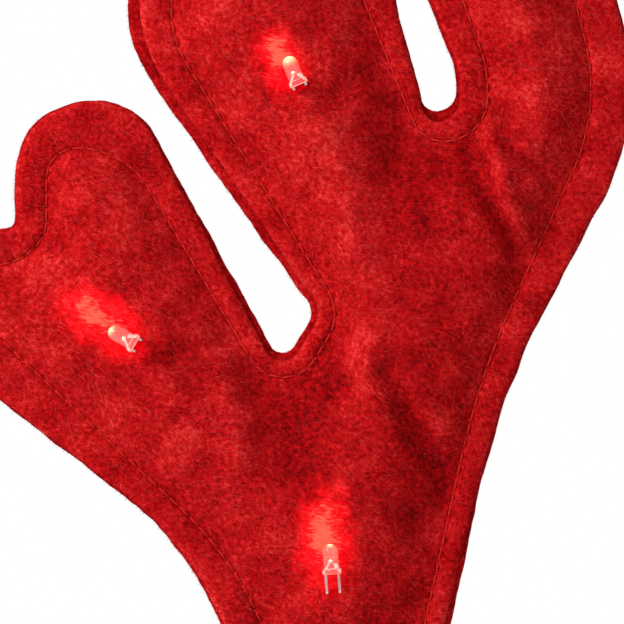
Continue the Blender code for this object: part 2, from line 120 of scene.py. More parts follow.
CORNERS = (
    Corner("foot_outer", -0.010, -0.178, 0.07, 1.15, 0.8, coming=1.0),
    Corner("crotch", -0.267, 0.284, 2.18, 0.70, 0.5, coming=1.15),
    Corner("side_tip_low", -0.735, 0.571, 0.46, 1.36, 0.4, coming=2.1),
    Corner("side_tip_top", -0.630, 0.678, 0.46, 1.15, 0.4),
    Corner("notch_low", -0.510, 0.602, 0.13, 2.21, 0.3, coming=1.2),
    Corner("notch_high", -0.482, 0.604, 0.04, 0.97, 0.3, coming=1.4),
    Corner("lean_tip_left", -0.482, 0.732, 0.53, 1.46, 0.3, coming=1.0),
    Corner("lean_tip_right", -0.328, 0.732, 0.49, 1.04, 0.3, coming=1.46, ease=0.47),
    Corner("wide_gap_low", -0.143, 0.464, 0.09, 0.75, 1.5, coming=0.70),
    Corner("wide_gap_bulge", -0.102, 0.517, 0.15, 0.70, 1.3, coming=0.75),
    Corner("main_tip_side", -0.339, 0.783, 1.05, 1.30, 2.5),
    Corner("main_tip_left", -0.339, 1.000, 0.83, 1.51, 1.5),
    Corner("main_tip_right", -0.053, 1.000, 0.83, 1.60, 0.5, coming=1.21),
    Corner("slit_left", 0.038, 0.722, 0.10, 0.95, 2.0, coming=0.46, showed=0.4),
    Corner("slit_right", 0.077, 0.722, 0.13, 0.97, 0.7, coming=0.95, showed=2.4),
    Corner("slit_wall", 0.077, 0.760, 0.56, 0.94, 0.7),
    Corner("inner_tip_left", -0.020, 0.962, 0.63, 1.06, 0.6),
    Corner("inner_tip_right", 0.233, 0.962, 0.63, 1.06, 0.4),
    Corner("inner_bulge", 0.325, 0.720, 1.75, 1.42, 0.3),
    Corner("inner_hollow", 0.134, 0.436, 5.43, 0.74, 0.3, coming=0.80),
    Corner("stem_hollow", 0.053, 0.131, 1.65, 0.81, 1.6),
    Corner("foot_inner", 0.210, -0.178, 0.07, 0.81, 0.8),
)


@dataclass(frozen=True)
class Fold:
    """A fold in the front felt, along a path of places as shares of the span and height.

    width is a share of the tine width and depth a share of the puff, negative for a ridge.
    """

    name: str
    width: float
    depth: float
    path: tuple[tuple[float, float], ...]


FOLDS = (
    Fold(
        "finger_valley",
        0.092,
        0.38,
        ((0.091, 0.693), (0.108, 0.659), (0.118, 0.628), (0.148, 0.590), (0.167, 0.553)),
    ),
    Fold(
        "finger_ridge",
        0.080,
        -0.32,
        ((0.115, 0.706), (0.132, 0.659), (0.149, 0.619), (0.175, 0.582)),
    ),
    Fold(
        "bulge_valley",
        0.055,
        0.30,
        ((0.129, 0.700), (0.143, 0.678), (0.171, 0.667), (0.204, 0.645)),
    ),
    Fold(
        "palm_ridge",
        0.175,
        -0.36,
        ((-0.097, 0.690), (-0.063, 0.626), (-0.047, 0.540), (-0.024, 0.439)),
    ),
    Fold(
        "palm_hollow",
        0.150,
        0.14,
        ((-0.125, 0.631), (-0.097, 0.560), (-0.072, 0.499), (-0.057, 0.413)),
    ),
    Fold("palm_crease", 0.090, 0.42, ((-0.014, 0.457), (0.032, 0.390), (0.072, 0.328))),
    Fold("gap_ridge", 0.130, -0.24, ((-0.213, 0.464), (-0.195, 0.373))),
    Fold("palm_side", 0.260, 0.14, ((0.020, 0.660), (0.035, 0.560), (0.030, 0.460))),
    Fold("gap_hollow", 0.280, 0.36, ((-0.150, 0.434), (-0.125, 0.376))),
    Fold("gap_pucker", 0.100, 0.22, ((-0.109, 0.477), (-0.077, 0.443))),
    Fold("gap_pucker_low", 0.080, 0.16, ((-0.121, 0.461), (-0.119, 0.427))),
    Fold("slit_hollow", 0.260, 0.22, ((-0.024, 0.772), (0.006, 0.714), (0.042, 0.659))),
    Fold("stem_hollow", 0.330, 0.17, ((0.037, 0.328), (0.019, 0.206))),
    Fold("side_crease", 0.080, 0.12, ((-0.304, 0.477), (-0.201, 0.468))),
)


@dataclass(frozen=True)
class LampPlace:
    """A lamp on the front felt: the middle of its rim, its lean to the left and its look.

    across and up are shares of the span and height, lean is in degrees, and bare is how much
    of its leads shows as a share of its length. In millimetres, bright is how far its tip
    glows, and ahead and aside are where its light falls from the tip, aside to the left.
    reach and spread are the half length and half width of that light.
    """

    name: str
    across: float
    up: float
    lean: float
    bare: float
    bright: float
    ahead: float
    aside: float
    reach: float
    spread: float


LAMPS = (
    LampPlace("low", -0.0797, 0.2537, 4.5, 0.565, 1.1, 0.9, 0.9, 10.2, 5.5),
    LampPlace("side", -0.3276, 0.4851, 60.0, 0.04, 1.6, 2.5, -0.8, 9.4, 5.2),
    LampPlace("top", -0.1214, 0.7465, 23.0, 0.03, 2.2, 0.3, 1.5, 6.2, 4.5),
)


@dataclass(frozen=True)
class Signal:
    """A number that runs through a node tree, with the arithmetic of Math nodes."""

    graph: "Graph"
    socket: bpy.types.NodeSocket

    def math(self, operation: str, *others: "float | Signal", clamp: bool = False) -> "Signal":
        """The result of a Math node on this number and others.

        Args:
            operation: The Math node's operation.
            others: The other operands.
            clamp: Whether the result is kept from 0 to 1.

        Returns:
            The node's result.
        """
        settings = {"operation": operation, "use_clamp": clamp}
        return self.graph.signal("ShaderNodeMath", settings, dict(enumerate((self, *others))))

    def __add__(self, other: "float | Signal") -> "Signal":
        """The sum."""
        return self.math("ADD", other)

    def __sub__(self, other: "float | Signal") -> "Signal":
        """The difference."""
        return self.math("SUBTRACT", other)

    def __rsub__(self, other: float) -> "Signal":
        """A number less this one."""
        return (self * -1.0).math("ADD", other)

    def __mul__(self, other: "float | Signal") -> "Signal":
        """The product."""
        return self.math("MULTIPLY", other)

    def __truediv__(self, other: "float | Signal") -> "Signal":
        """The quotient."""
        return self.math("DIVIDE", other)

    def __pow__(self, other: "float | Signal") -> "Signal":
        """The power."""
        return self.math("POWER", other)

    __radd__ = __add__
    __rmul__ = __mul__

    def clamped(self) -> "Signal":
        """This number kept from 0 to 1."""
        return self.math("ADD", 0.0, clamp=True)

    def ramp(self, low: float, high: float) -> "Signal":
        """A smooth step from 0 at low to 1 at high, or back where high is the smaller.

        Args:
            low: Where the step starts.
            high: Where it ends.

        Returns:
            The step.
        """
        limits = {"Value": self, "From Min": low, "From Max": high}
        return self.graph.signal(
            "ShaderNodeMapRange", {"interpolation_type": "SMOOTHSTEP"}, limits
        )


class Graph:
    """Adds nodes to one node tree."""

    def __init__(self, tree: bpy.types.NodeTree) -> None:
        """Wraps a tree.

        Args:
            tree: The material's, world's or Geometry Nodes' tree.
        """
        self.tree = tree

    def feed(self, node: bpy.types.Node, inputs: dict[Any, Any]) -> None:
        """Sets a node's inputs.

        Args:
            node: The node.
            inputs: Values or links of its sockets, by name or number.
        """
        for name, value in inputs.items():
            if isinstance(value, Signal):
                value = value.socket
            if isinstance(value, bpy.types.NodeSocket):
                self.tree.links.new(value, node.inputs[name])
            else:
                node.inputs[name].default_value = value

    def node(
        self,
        kind: str,
        settings: dict[str, Any] | None = None,
        inputs: dict[Any, Any] | None = None,
    ) -> bpy.types.Node:
        """Adds a node.

        Args:
            kind: The node's type.
            settings: Its own settings, set first. stops are a colour ramp's stops.
            inputs: Values or links of its sockets, by name or number.

        Returns:
            The node.
        """
        made = self.tree.nodes.new(kind)
        for name, value in (settings or {}).items():
            if name == "stops":
                self.set_stops(made.color_ramp, value)
            else:
                setattr(made, name, value)
        self.feed(made, inputs or {})
        return made

    def out(
        self,
        kind: str,
        settings: dict[str, Any] | None = None,
        inputs: dict[Any, Any] | None = None,
        output: int | str = 0,
    ) -> bpy.types.NodeSocket:
        """Adds a node, with the same arguments as node, and hands over one of its outputs.

        Args:
            kind: The node's type.
            settings: Its own settings.
            inputs: Values or links of its sockets.
            output: The output's number or name.

        Returns:
            The output's socket.
        """
        return self.node(kind, settings, inputs).outputs[output]

    def signal(self, kind: str, *details: Any) -> Signal:
        """The same as out, wrapped."""
        return Signal(self, self.out(kind, *details))

    def attribute(self, name: str) -> Signal:
        """A number stored at the mesh's points."""
        return self.signal("ShaderNodeAttribute", {"attribute_name": name}, None, "Fac")

    def split(self, vector: Any) -> list[Signal]:
        """The three parts of a vector."""
        parts = self.node("ShaderNodeSeparateXYZ", None, {0: vector})
        return [Signal(self, output) for output in parts.outputs]

    @staticmethod
    def set_stops(ramp: bpy.types.ColorRamp, stops: Sequence[tuple[float, Colour]]) -> None:
        """Sets a colour ramp's stops.

        Args:
            ramp: The ramp, with its two first stops.
            stops: Each stop's place and colour.
        """
        for _ in stops[2:]:
            ramp.elements.new(1.0)
        for element, (place, colour) in zip(ramp.elements, stops):
            element.position = place
            element.color = (*colour, 1.0)

    def mix(self, share: Any, first: Any, second: Any) -> bpy.types.NodeSocket:
        """A colour between two, by a share.

        Args:
            share: 0 for the first colour and 1 for the second.
            first: A colour or a socket.
            second: A colour or a socket.

        Returns:
            The mixed colour's socket.
        """
        colours = [(*c, 1.0) if isinstance(c, tuple) else c for c in (first, second)]
        inputs = {0: share, 6: colours[0], 7: colours[1]}
        return self.out("ShaderNodeMix", {"data_type": "RGBA"}, inputs, 2)

    def noise(self, vector: Any, scale: float, detail: float = 2.0) -> Signal:
        """A noise texture's value.

        Args:
            vector: The place that it is read at.
            scale: Its scale.
            detail: Its detail.

        Returns:
            The noise, from 0 to 1 about a half.
        """
        inputs = {"Vector": vector, "Scale": scale, "Detail": detail, "Roughness": 0.62}
        return self.signal("ShaderNodeTexNoise", None, inputs)


def new_shader(name: str) -> tuple[bpy.types.Material, Graph, bpy.types.Node]:
    """A new material with its graph and its Principled shader.

    Args:
        name: The material's name.

    Returns:
        The material, its graph and its shader node.
    """
    material = bpy.data.materials.new(name)
    material.use_nodes = True
    graph = Graph(material.node_tree)
    return material, graph, material.node_tree.nodes["Principled BSDF"]


def millimetres(graph: Graph) -> bpy.types.NodeSocket:
    """The piece's own coordinates in millimetres."""
    place = graph.out("ShaderNodeTexCoord", output="Object")
    return graph.out("ShaderNodeVectorMath", {"operation": "SCALE"}, {0: place, "Scale": 1 / MM})


@dataclass(frozen=True)
class GlowSpot:
    """The patch of felt that a lamp lights: the lamp's tip and heading, in millimetres."""

    across: float
    up: float
    heading: tuple[float, float]
    place: LampPlace
    core_ahead: float = 1.5
    core_size: float = 0.60

    def distance(self, graph: Graph, x: Signal, z: Signal, ahead: float, size: float) -> Signal:
        """How far a place is from the patch's middle, 1 at its edge.

        Args:
            graph: The material's graph.
            x: Distance from the headband's middle plane.
            z: Height.
            ahead: How far ahead of the patch's middle it is measured from.
            size: The patch's size as a share of the whole one's.

        Returns:
            The distance.
        """
        dx = x + self.across
        dz = z - self.up
        along = dx * -self.heading[0] + dz * self.heading[1] - self.place.ahead - ahead
        beside = dx * self.heading[1] + dz * self.heading[0] - self.place.aside
        reach, spread = self.place.reach * size, self.place.spread * size
        return ((along / reach) ** 2.0 + (beside / spread) ** 2.0) ** 0.5


def add_glow(
    graph: Graph, shader: bpy.types.Node, place: Any, spots: Sequence[GlowSpot]
) -> None:
    """Lights the felt round each lamp, the same on both antlers.

    Args:
        graph: The material's graph.
        shader: Its Principled shader.
        place: Coordinates in millimetres.
        spots: The patches that are lit.
    """
    x, _, z = graph.split(place)
    x = x.math("ABSOLUTE")
    lines = graph.out(
        "ShaderNodeMapping",
        {"vector_type": "TEXTURE"},
        {"Vector": place, "Rotation": (0.0, 0.12, 0.0), "Scale": (1.7, 1.0, 0.42)},
    )
    ragged = graph.noise(lines, 1.0, 4.0) - 0.5
    uneven = (graph.noise(place, 0.34, 2.0) - 0.5) * 1.5
    red = pink = None
    for spot in spots:
        wide = spot.distance(graph, x, z, 0.0, 1.0) + uneven * 0.8 + ragged * 0.45
        wide = wide.ramp(1.45, 0.35)
        core = spot.distance(graph, x, z, spot.core_ahead, spot.core_size)
        core = (core + uneven * 1.25 + ragged * 3.0).ramp(1.05, 0.3)
        red = wide if red is None else red + wide
        pink = core if pink is None else pink + core
    salmon = graph.mix(pink.clamped() ** 4.0, (0.85, 0.080, 0.070), (0.95, 0.155, 0.088))
    lit = graph.mix(pink.clamped(), (1.0, 0.0, 0.006), salmon)
    colour = graph.mix(red.clamped(), (0.0, 0.0, 0.0), lit)
    graph.feed(shader, {"Emission Color": colour, "Emission Strength": 0.8})


@dataclass(frozen=True)
class NapFinish:
    """Loose fibres on the felt, each with its own tone, from dark ones to light hairs."""

    name: str
    dark: Colour
    middle: Colour
    hair: Colour
    # How strongly the folds' painted shade darkens the fibres.
    crushed: float = 0.22
    spots: tuple[GlowSpot, ...] = ()

    def material(self) -> bpy.types.Material:
        """Makes the material.

        Returns:
            The fibres' material.
        """
        material, graph, shader = new_shader(self.name)
        place = millimetres(graph)
        tone = graph.attribute("hair_tone") * 0.75 + graph.noise(place, 0.5, 2.0) * 0.5 - 0.12
        # Painted shade: the fibres darken in the folds' valleys and lighten on their ridges.
        tone = tone - graph.attribute("crease") * self.crushed
        stops = [(0.05, self.dark), (0.55, self.middle), (0.93, self.hair)]
        colour = graph.out("ShaderNodeValToRGB", {"stops": stops}, {"Fac": tone.clamped()})
        graph.feed(shader, {"Base Color": colour, "Roughness": 0.6, "Specular IOR Level": 0.12})
        if self.spots:
            add_glow(graph, shader, place, self.spots)
        return material


@dataclass(frozen=True)
class FeltFinish:
    """Fuzzy needle felt: matted fibres in clumps and lighter hairs, darkest in the clumps' hollows
    partly as painted shade, with painted shade in the folds' valleys and a painted highlight along
    the cut edge.
    """

    name: str
    hollow: Colour
    middle: Colour
    light: Colour
    hair: Colour
    roughness: float = 0.94
    relief: float = 0.35
    contrast: float = 1.0
    # How much lighter the felt is along its cut edge, a painted highlight.
    edge_highlight: float = 0.17
    # How strongly the folds' painted shade darkens the felt.
    crushed: float = 0.22
    spots: tuple[GlowSpot, ...] = ()

    def streaks(self, graph: Graph, place: Any, turn: float, seed: float) -> Signal:
        """Fibres that lie in one direction.

        Args:
            graph: The material's graph.
            place: Coordinates in millimetres.
            turn: The direction, in degrees about the depth axis.
            seed: Sets one layer of fibres apart from another.

        Returns:
            The streaks' noise.
        """
        inputs = {"Vector": place, "Rotation": (0.0, math.radians(turn), 0.0)}
        inputs.update({"Location": (seed, 0.0, seed), "Scale": (0.17, 0.5, 1.5)})
        turned = graph.out("ShaderNodeMapping", {"vector_type": "TEXTURE"}, inputs)
        return graph.noise(turned, 1.0, 3.0)

    def material(self) -> bpy.types.Material:
        """Makes the material.

        Returns:
            The felt's material.
        """
        material, graph, shader = new_shader(self.name)
        place = millimetres(graph)
        slow = {"Vector": place, "Scale": 0.07, "Detail": 1.0}
        drift = graph.out("ShaderNodeTexNoise", None, slow, "Color")
        swirled = graph.out(
            "ShaderNodeVectorMath",
            {"operation": "MULTIPLY_ADD"},
            {0: drift, 1: (6.0, 6.0, 6.0), 2: place},
        )
        first = self.streaks(graph, swirled, -50.0, 0.0)
        second = self.streaks(graph, swirled, -84.0, 31.0)
        crossing = self.streaks(graph, swirled, 35.0, 57.0)
        choice = graph.noise(place, 0.09, 1.0).ramp(0.42, 0.58)
        fibres = (first * choice + second * (1.0 - choice)) * 0.7 + crossing * 0.3
        clumps = graph.noise(place, 1.15, 4.0)
        blotches = graph.noise(place, 0.13, 2.0)
        # The clumps also raise the bump, so the lowest clumps get the darkest tone: partly the
        # felt's own mottling, partly painted shade in the hollows between clumps.
        tone = fibres + clumps * 0.95 + blotches * 0.60
        tone = (tone - 1.275) * (1.55 * self.contrast) + 0.53
        # Painted highlight: the felt is lighter along its cut edge, where the edge catches the
        # light.
        tone = tone + graph.attribute("cut_edge") * self.edge_highlight
        # Painted shade: the felt darkens in the folds' valleys and lightens on their ridges.
        tone = tone - graph.attribute("crease") * self.crushed
        stops = [(0.02, self.hollow), (0.40, self.middle), (0.72, self.light), (1.0, self.hair)]
        colour = graph.out("ShaderNodeValToRGB", {"stops": stops}, {"Fac": tone.clamped()})
        relief = {"Height": fibres * 0.6 + clumps, "Distance": self.relief * MM, "Strength": 0.6}
        graph.feed(shader, {
            "Base Color": colour,
            "Normal": graph.out("ShaderNodeBump", None, relief),
            "Roughness": self.roughness,
            "Specular IOR Level": 0.05,
            "Sheen Weight": 0.03,
            "Sheen Roughness": 0.5,
            "Sheen Tint": (1.0, 0.16, 0.12, 1.0),
        })
        if self.spots:
            add_glow(graph, shader, place, self.spots)
        return material


@dataclass(frozen=True)
class PlainFinish:
    """A small part's finish: one colour that is broken up a little, with a fine bump."""

    name: str
    colour: Colour
    shade: Colour
    roughness: float
    metallic: float = 0.0
    grain: float = 2.0
    relief: float = 0.02
    specular: float = 0.5

    def material(self) -> bpy.types.Material:
        """Makes the material.

        Returns:
            The material.
        """
        material, graph, shader = new_shader(self.name)
        grain = graph.noise(millimetres(graph), self.grain, 3.0)
        relief = {"Height": grain, "Distance": self.relief * MM}
        graph.feed(shader, {
            "Base Color": graph.mix(grain.ramp(0.3, 0.7), self.shade, self.colour),
            "Roughness": grain * 0.1 + (self.roughness - 0.05),
            "Normal": graph.out("ShaderNodeBump", None, relief),
            "Metallic": self.metallic,
            "Specular IOR Level": self.specular,
        })
        return material


@dataclass(frozen=True)
class ResinFinish:
    """Clear cast resin, lit from inside so that its tip glows warm."""

    name: str
    tips: tuple[tuple[float, float, float], ...]
    reach: tuple[float, ...]
    clear: Colour = (1.0, 0.76, 0.70)

    def material(self) -> bpy.types.Material:
        """Makes the material.

        Returns:
            The resin's material.
        """
        material, graph, shader = new_shader(self.name)
        place = millimetres(graph)
        x, y, z = graph.split(place)
        one_side = graph.out("ShaderNodeCombineXYZ", None, {0: x.math("ABSOLUTE"), 1: y, 2: z})
        glow = None
        for tip, reach in zip(self.tips, self.reach):
            away = graph.signal(
                "ShaderNodeVectorMath", {"operation": "DISTANCE"}, {0: one_side, 1: tip}, 1
            )
            near = away.ramp(reach, reach * 0.3)
            glow = near if glow is None else glow + near
        warm = graph.mix(glow.clamped() ** 2.0, (0.9, 0.25, 0.06), (1.0, 0.86, 0.42))
        relief = {"Height": graph.noise(place, 1.1, 1.0), "Distance": 0.02 * MM}
        graph.feed(shader, {
            "Emission Color": graph.mix(glow.clamped(), (0.13, 0.016, 0.012), warm),
            "Emission Strength": 1.0,
            "Base Color": (*self.clear, 1.0),
            "Normal": graph.out("ShaderNodeBump", None, relief),
            "Roughness": 0.04,
            "IOR": 1.5,
            "Transmission Weight": 0.92,
        })
        return material


@dataclass(frozen=True)
class LitFinish:
    """A part inside a lamp that shines, either the chip itself or what it lights."""

    name: str
    colour: Colour
    shade: Colour
    strength: float
    grain: float = 6.0
    base: Colour = (0.8, 0.45, 0.4)

    def material(self) -> bpy.types.Material:
        """Makes the material.

        Returns:
            The part's material.
        """
        material, graph, shader = new_shader(self.name)
        grain = graph.noise(millimetres(graph), self.grain, 1.0).ramp(0.35, 0.65)
        graph.feed(shader, {
            "Emission Color": graph.mix(grain, self.shade, self.colour),
            "Emission Strength": self.strength,
            "Base Color": (*self.base, 1.0),
            "Roughness": 0.3,
        })
        return material


def unit(vector: np.ndarray) -> np.ndarray:
    """A flat vector one long."""
    return vector / np.hypot(*vector)


def cross(a: np.ndarray, b: np.ndarray) -> Any:
    """Cross product of flat vectors: positive where b turns left of a."""
    return a[0] * b[1] - a[1] * b[0]


def offset_corners(corners: np.ndarray, insets: np.ndarray) -> np.ndarray:
    """Moves corners in by an inset at each, along both edges that meet there.

    Args:
        corners: The corners, in order.
        insets: How far in the edge before and the edge after move at each corner.

    Returns:
        The moved corners.
    """
    moved = []
    count = len(corners)
    for i in range(count):
        lines = []
        for first in ((i - 1) % count, i):
            second = (first + 1) % count
            along = unit(corners[second] - corners[first])
            inward = np.array((along[1], -along[0]))
            start = corners[first] + inward * insets[first][1]
            lines.append((start, corners[second] + inward * insets[second][0] - start))
        (a, p), (b, q) = lines
        moved.append(a + p * cross(b - a, q) / cross(p, q))
    return np.array(moved)


def rounded(corners: np.ndarray, radii: np.ndarray, tolerance: float = 0.004) -> np.ndarray:
    """A closed outline whose corners are arcs, none longer than its edges allow.

    Args:
        corners: The corners, in order.
        radii: The radius at each.
        tolerance: How far a chord may leave its arc.

    Returns:
        The outline's points.
    """
    count = len(corners)
    edges = [corners[(i + 1) % count] - corners[i] for i in range(count)]
    lengths = [np.hypot(*edge) for edge in edges]
    turns = [
        math.atan2(cross(edges[i - 1], edges[i]), np.dot(edges[i - 1], edges[i]))
        for i in range(count)
    ]
    tangents = [
        max(radius, 0.25) * math.tan(abs(turn) / 2) for radius, turn in zip(radii, turns)
    ]
    fits = [
        min(1.0, 0.999 * lengths[i] / (tangents[i] + tangents[(i + 1) % count]))
        for i in range(count)
    ]
    points = []
    for i in range(count):
        tangent = tangents[i] * min(fits[i - 1], fits[i])
        radius = tangent / math.tan(abs(turns[i]) / 2)
        point = corners[i] - edges[i - 1] / lengths[i - 1] * tangent
        points.append(point)
        steps = math.ceil(abs(turns[i]) / (2 * math.acos(1 - tolerance / max(radius, 0.1))))
        heading = math.atan2(*edges[i - 1][::-1])
        chord = 2 * radius * math.sin(abs(turns[i]) / steps / 2)
        for k in range(steps):
            bearing = heading + turns[i] * (k + 0.5) / steps
            point = point + chord * np.array((math.cos(bearing), math.sin(bearing)))
            points.append(point)
    return np.array(points)


def resampled(path: np.ndarray, spacing: float, closed: bool = False) -> np.ndarray:
    """A path with its points evenly spaced.

    Args:
        path: The path's points.
        spacing: The distance wanted between points.
        closed: Whether the path runs back to its first point, which isn't repeated.

    Returns:
        The new points.
    """
    if closed:
        path = np.vstack((path, path[:1]))
    steps = np.hypot(*np.diff(path, axis=0).T)
    keep = np.concatenate(([True], steps > 1e-9))
    path = path[keep]
    along = np.concatenate(([0.0], np.cumsum(steps[keep[1:]])))
    count = max(2, round(along[-1] / spacing))
    wanted = np.linspace(0, along[-1], count + 1)
    points = np.stack([np.interp(wanted, along, axis) for axis in path.T], axis=1)
    return points[:-1] if closed else points


def inside(points: np.ndarray, outline: np.ndarray) -> np.ndarray:
    """Tells which points lie inside a closed outline.

    Args:
        points: The points.
        outline: The outline's points.

    Returns:
        True for each point inside.
    """
    (x0, y0), (x1, y1) = outline.T, np.roll(outline, -1, axis=0).T
    x, y = points[:, :1], points[:, 1:]
    spans = (y0 > y) != (y1 > y)
    rise = np.where(y1 == y0, 1.0, y1 - y0)
    return (spans & (x < x0 + (x1 - x0) * (y - y0) / rise)).sum(axis=1) % 2 == 1


def flat_tree(points: np.ndarray) -> KDTree:
    """A search tree of flat points.

    Args:
        points: The points.

    Returns:
        The tree.
    """
    tree = KDTree(len(points))
    for i, (x, y) in enumerate(points):
        tree.insert((x, y, 0.0), i)
    tree.balance()
    return tree


def nearest(points: np.ndarray, path: np.ndarray) -> tuple[np.ndarray, np.ndarray]:
    """Finds how far points are from an evenly spaced path, and which of its points is nearest.

    Args:
        points: The points.
        path: The path's points.

    Returns:
        The distances and the indices of the nearest path points.
    """
    tree = flat_tree(path)
    found = [tree.find((x, y, 0.0)) for x, y in points]
    return np.array([item[2] for item in found]), np.array([item[1] for item in found])


def filled(
    outline: np.ndarray, taken: np.ndarray, spacing: float, clear: float, every: int = 1
) -> np.ndarray:
    """Points spread evenly inside an outline, clear of those already taken.

    Args:
        outline: The outline.
        taken: The points to stay clear of.
        spacing: The distance between points.
        clear: How far they stay clear, as a share of the spacing.
        every: How many of the outline's points make one step of the border.

    Returns:
        The points.
    """
    low, high = outline.min(axis=0), outline.max(axis=0)
    rows = []
    for i, y in enumerate(np.arange(low[1], high[1], spacing * math.sin(math.pi / 3))):
        across = np.arange(low[0], high[0], spacing) + spacing / 2 * (i % 2)
        rows.append(np.stack((across, np.full_like(across, y)), axis=1))
    grid = np.vstack(rows)
    grid = grid[inside(grid, outline[::every])]
    away, _ = nearest(grid, taken)
    return grid[away > clear * spacing]


def triangulated(outline: np.ndarray, within: np.ndarray) -> tuple[np.ndarray, Triangles]:
    """Fills an outline with triangles.

    Args:
        outline: The outline's points.
        within: The points inside it.

    Returns:
        All points, the outline's first, and the triangles.
    """
    vectors = [Vector(point) for point in np.vstack((outline, within))]
    ring = [list(range(len(outline)))]
    points, _, faces, _, _, _ = delaunay_2d_cdt(vectors, [], ring, 1, 1e-4)
    return np.array(points), [tuple(face) for face in faces]


def away_from_line(points: np.ndarray, start: np.ndarray, end: np.ndarray) -> np.ndarray:
    """Distance of points from a straight stretch between two places.

    Args:
        points: The points.
        start: One end.
        end: The other end.

    Returns:
        The distances.
    """
    step = end - start
    share = np.clip((points - start) @ step / (step @ step), 0, 1)
    return np.hypot(*(points - start - share[:, None] * step).T)


def faded(away: np.ndarray, width: float, power: int = 2) -> np.ndarray:
    """One at no distance, and down to about a third at the width."""
    return np.exp(-((away / width) ** power))


def risen(away: np.ndarray, width: float) -> np.ndarray:
    """Nothing up to no distance, about two thirds at the width, and one far off."""
    return 1 - np.exp(-np.maximum(away, 0) / width)


def waves(points: np.ndarray, length: float, seed: int, count: int = 16) -> np.ndarray:
    """Smooth random relief made of plane waves, about 1 high.

    Args:
        points: Where it is read.
        length: The waves' length.
        seed: Sets one relief apart from another.
        count: How many waves it adds.

    Returns:
        The relief at each point.
    """
    draw = np.random.default_rng(seed)
    total = np.zeros(len(points))
    for _ in range(count):
        bearing, phase, stretch = draw.uniform((0, 0, 0.7), (math.tau, math.tau, 1.5))
        run = points @ np.array((math.cos(bearing), math.sin(bearing)))
        total += np.cos(run * math.tau / (length * stretch) + phase)
    return total / math.sqrt(count)


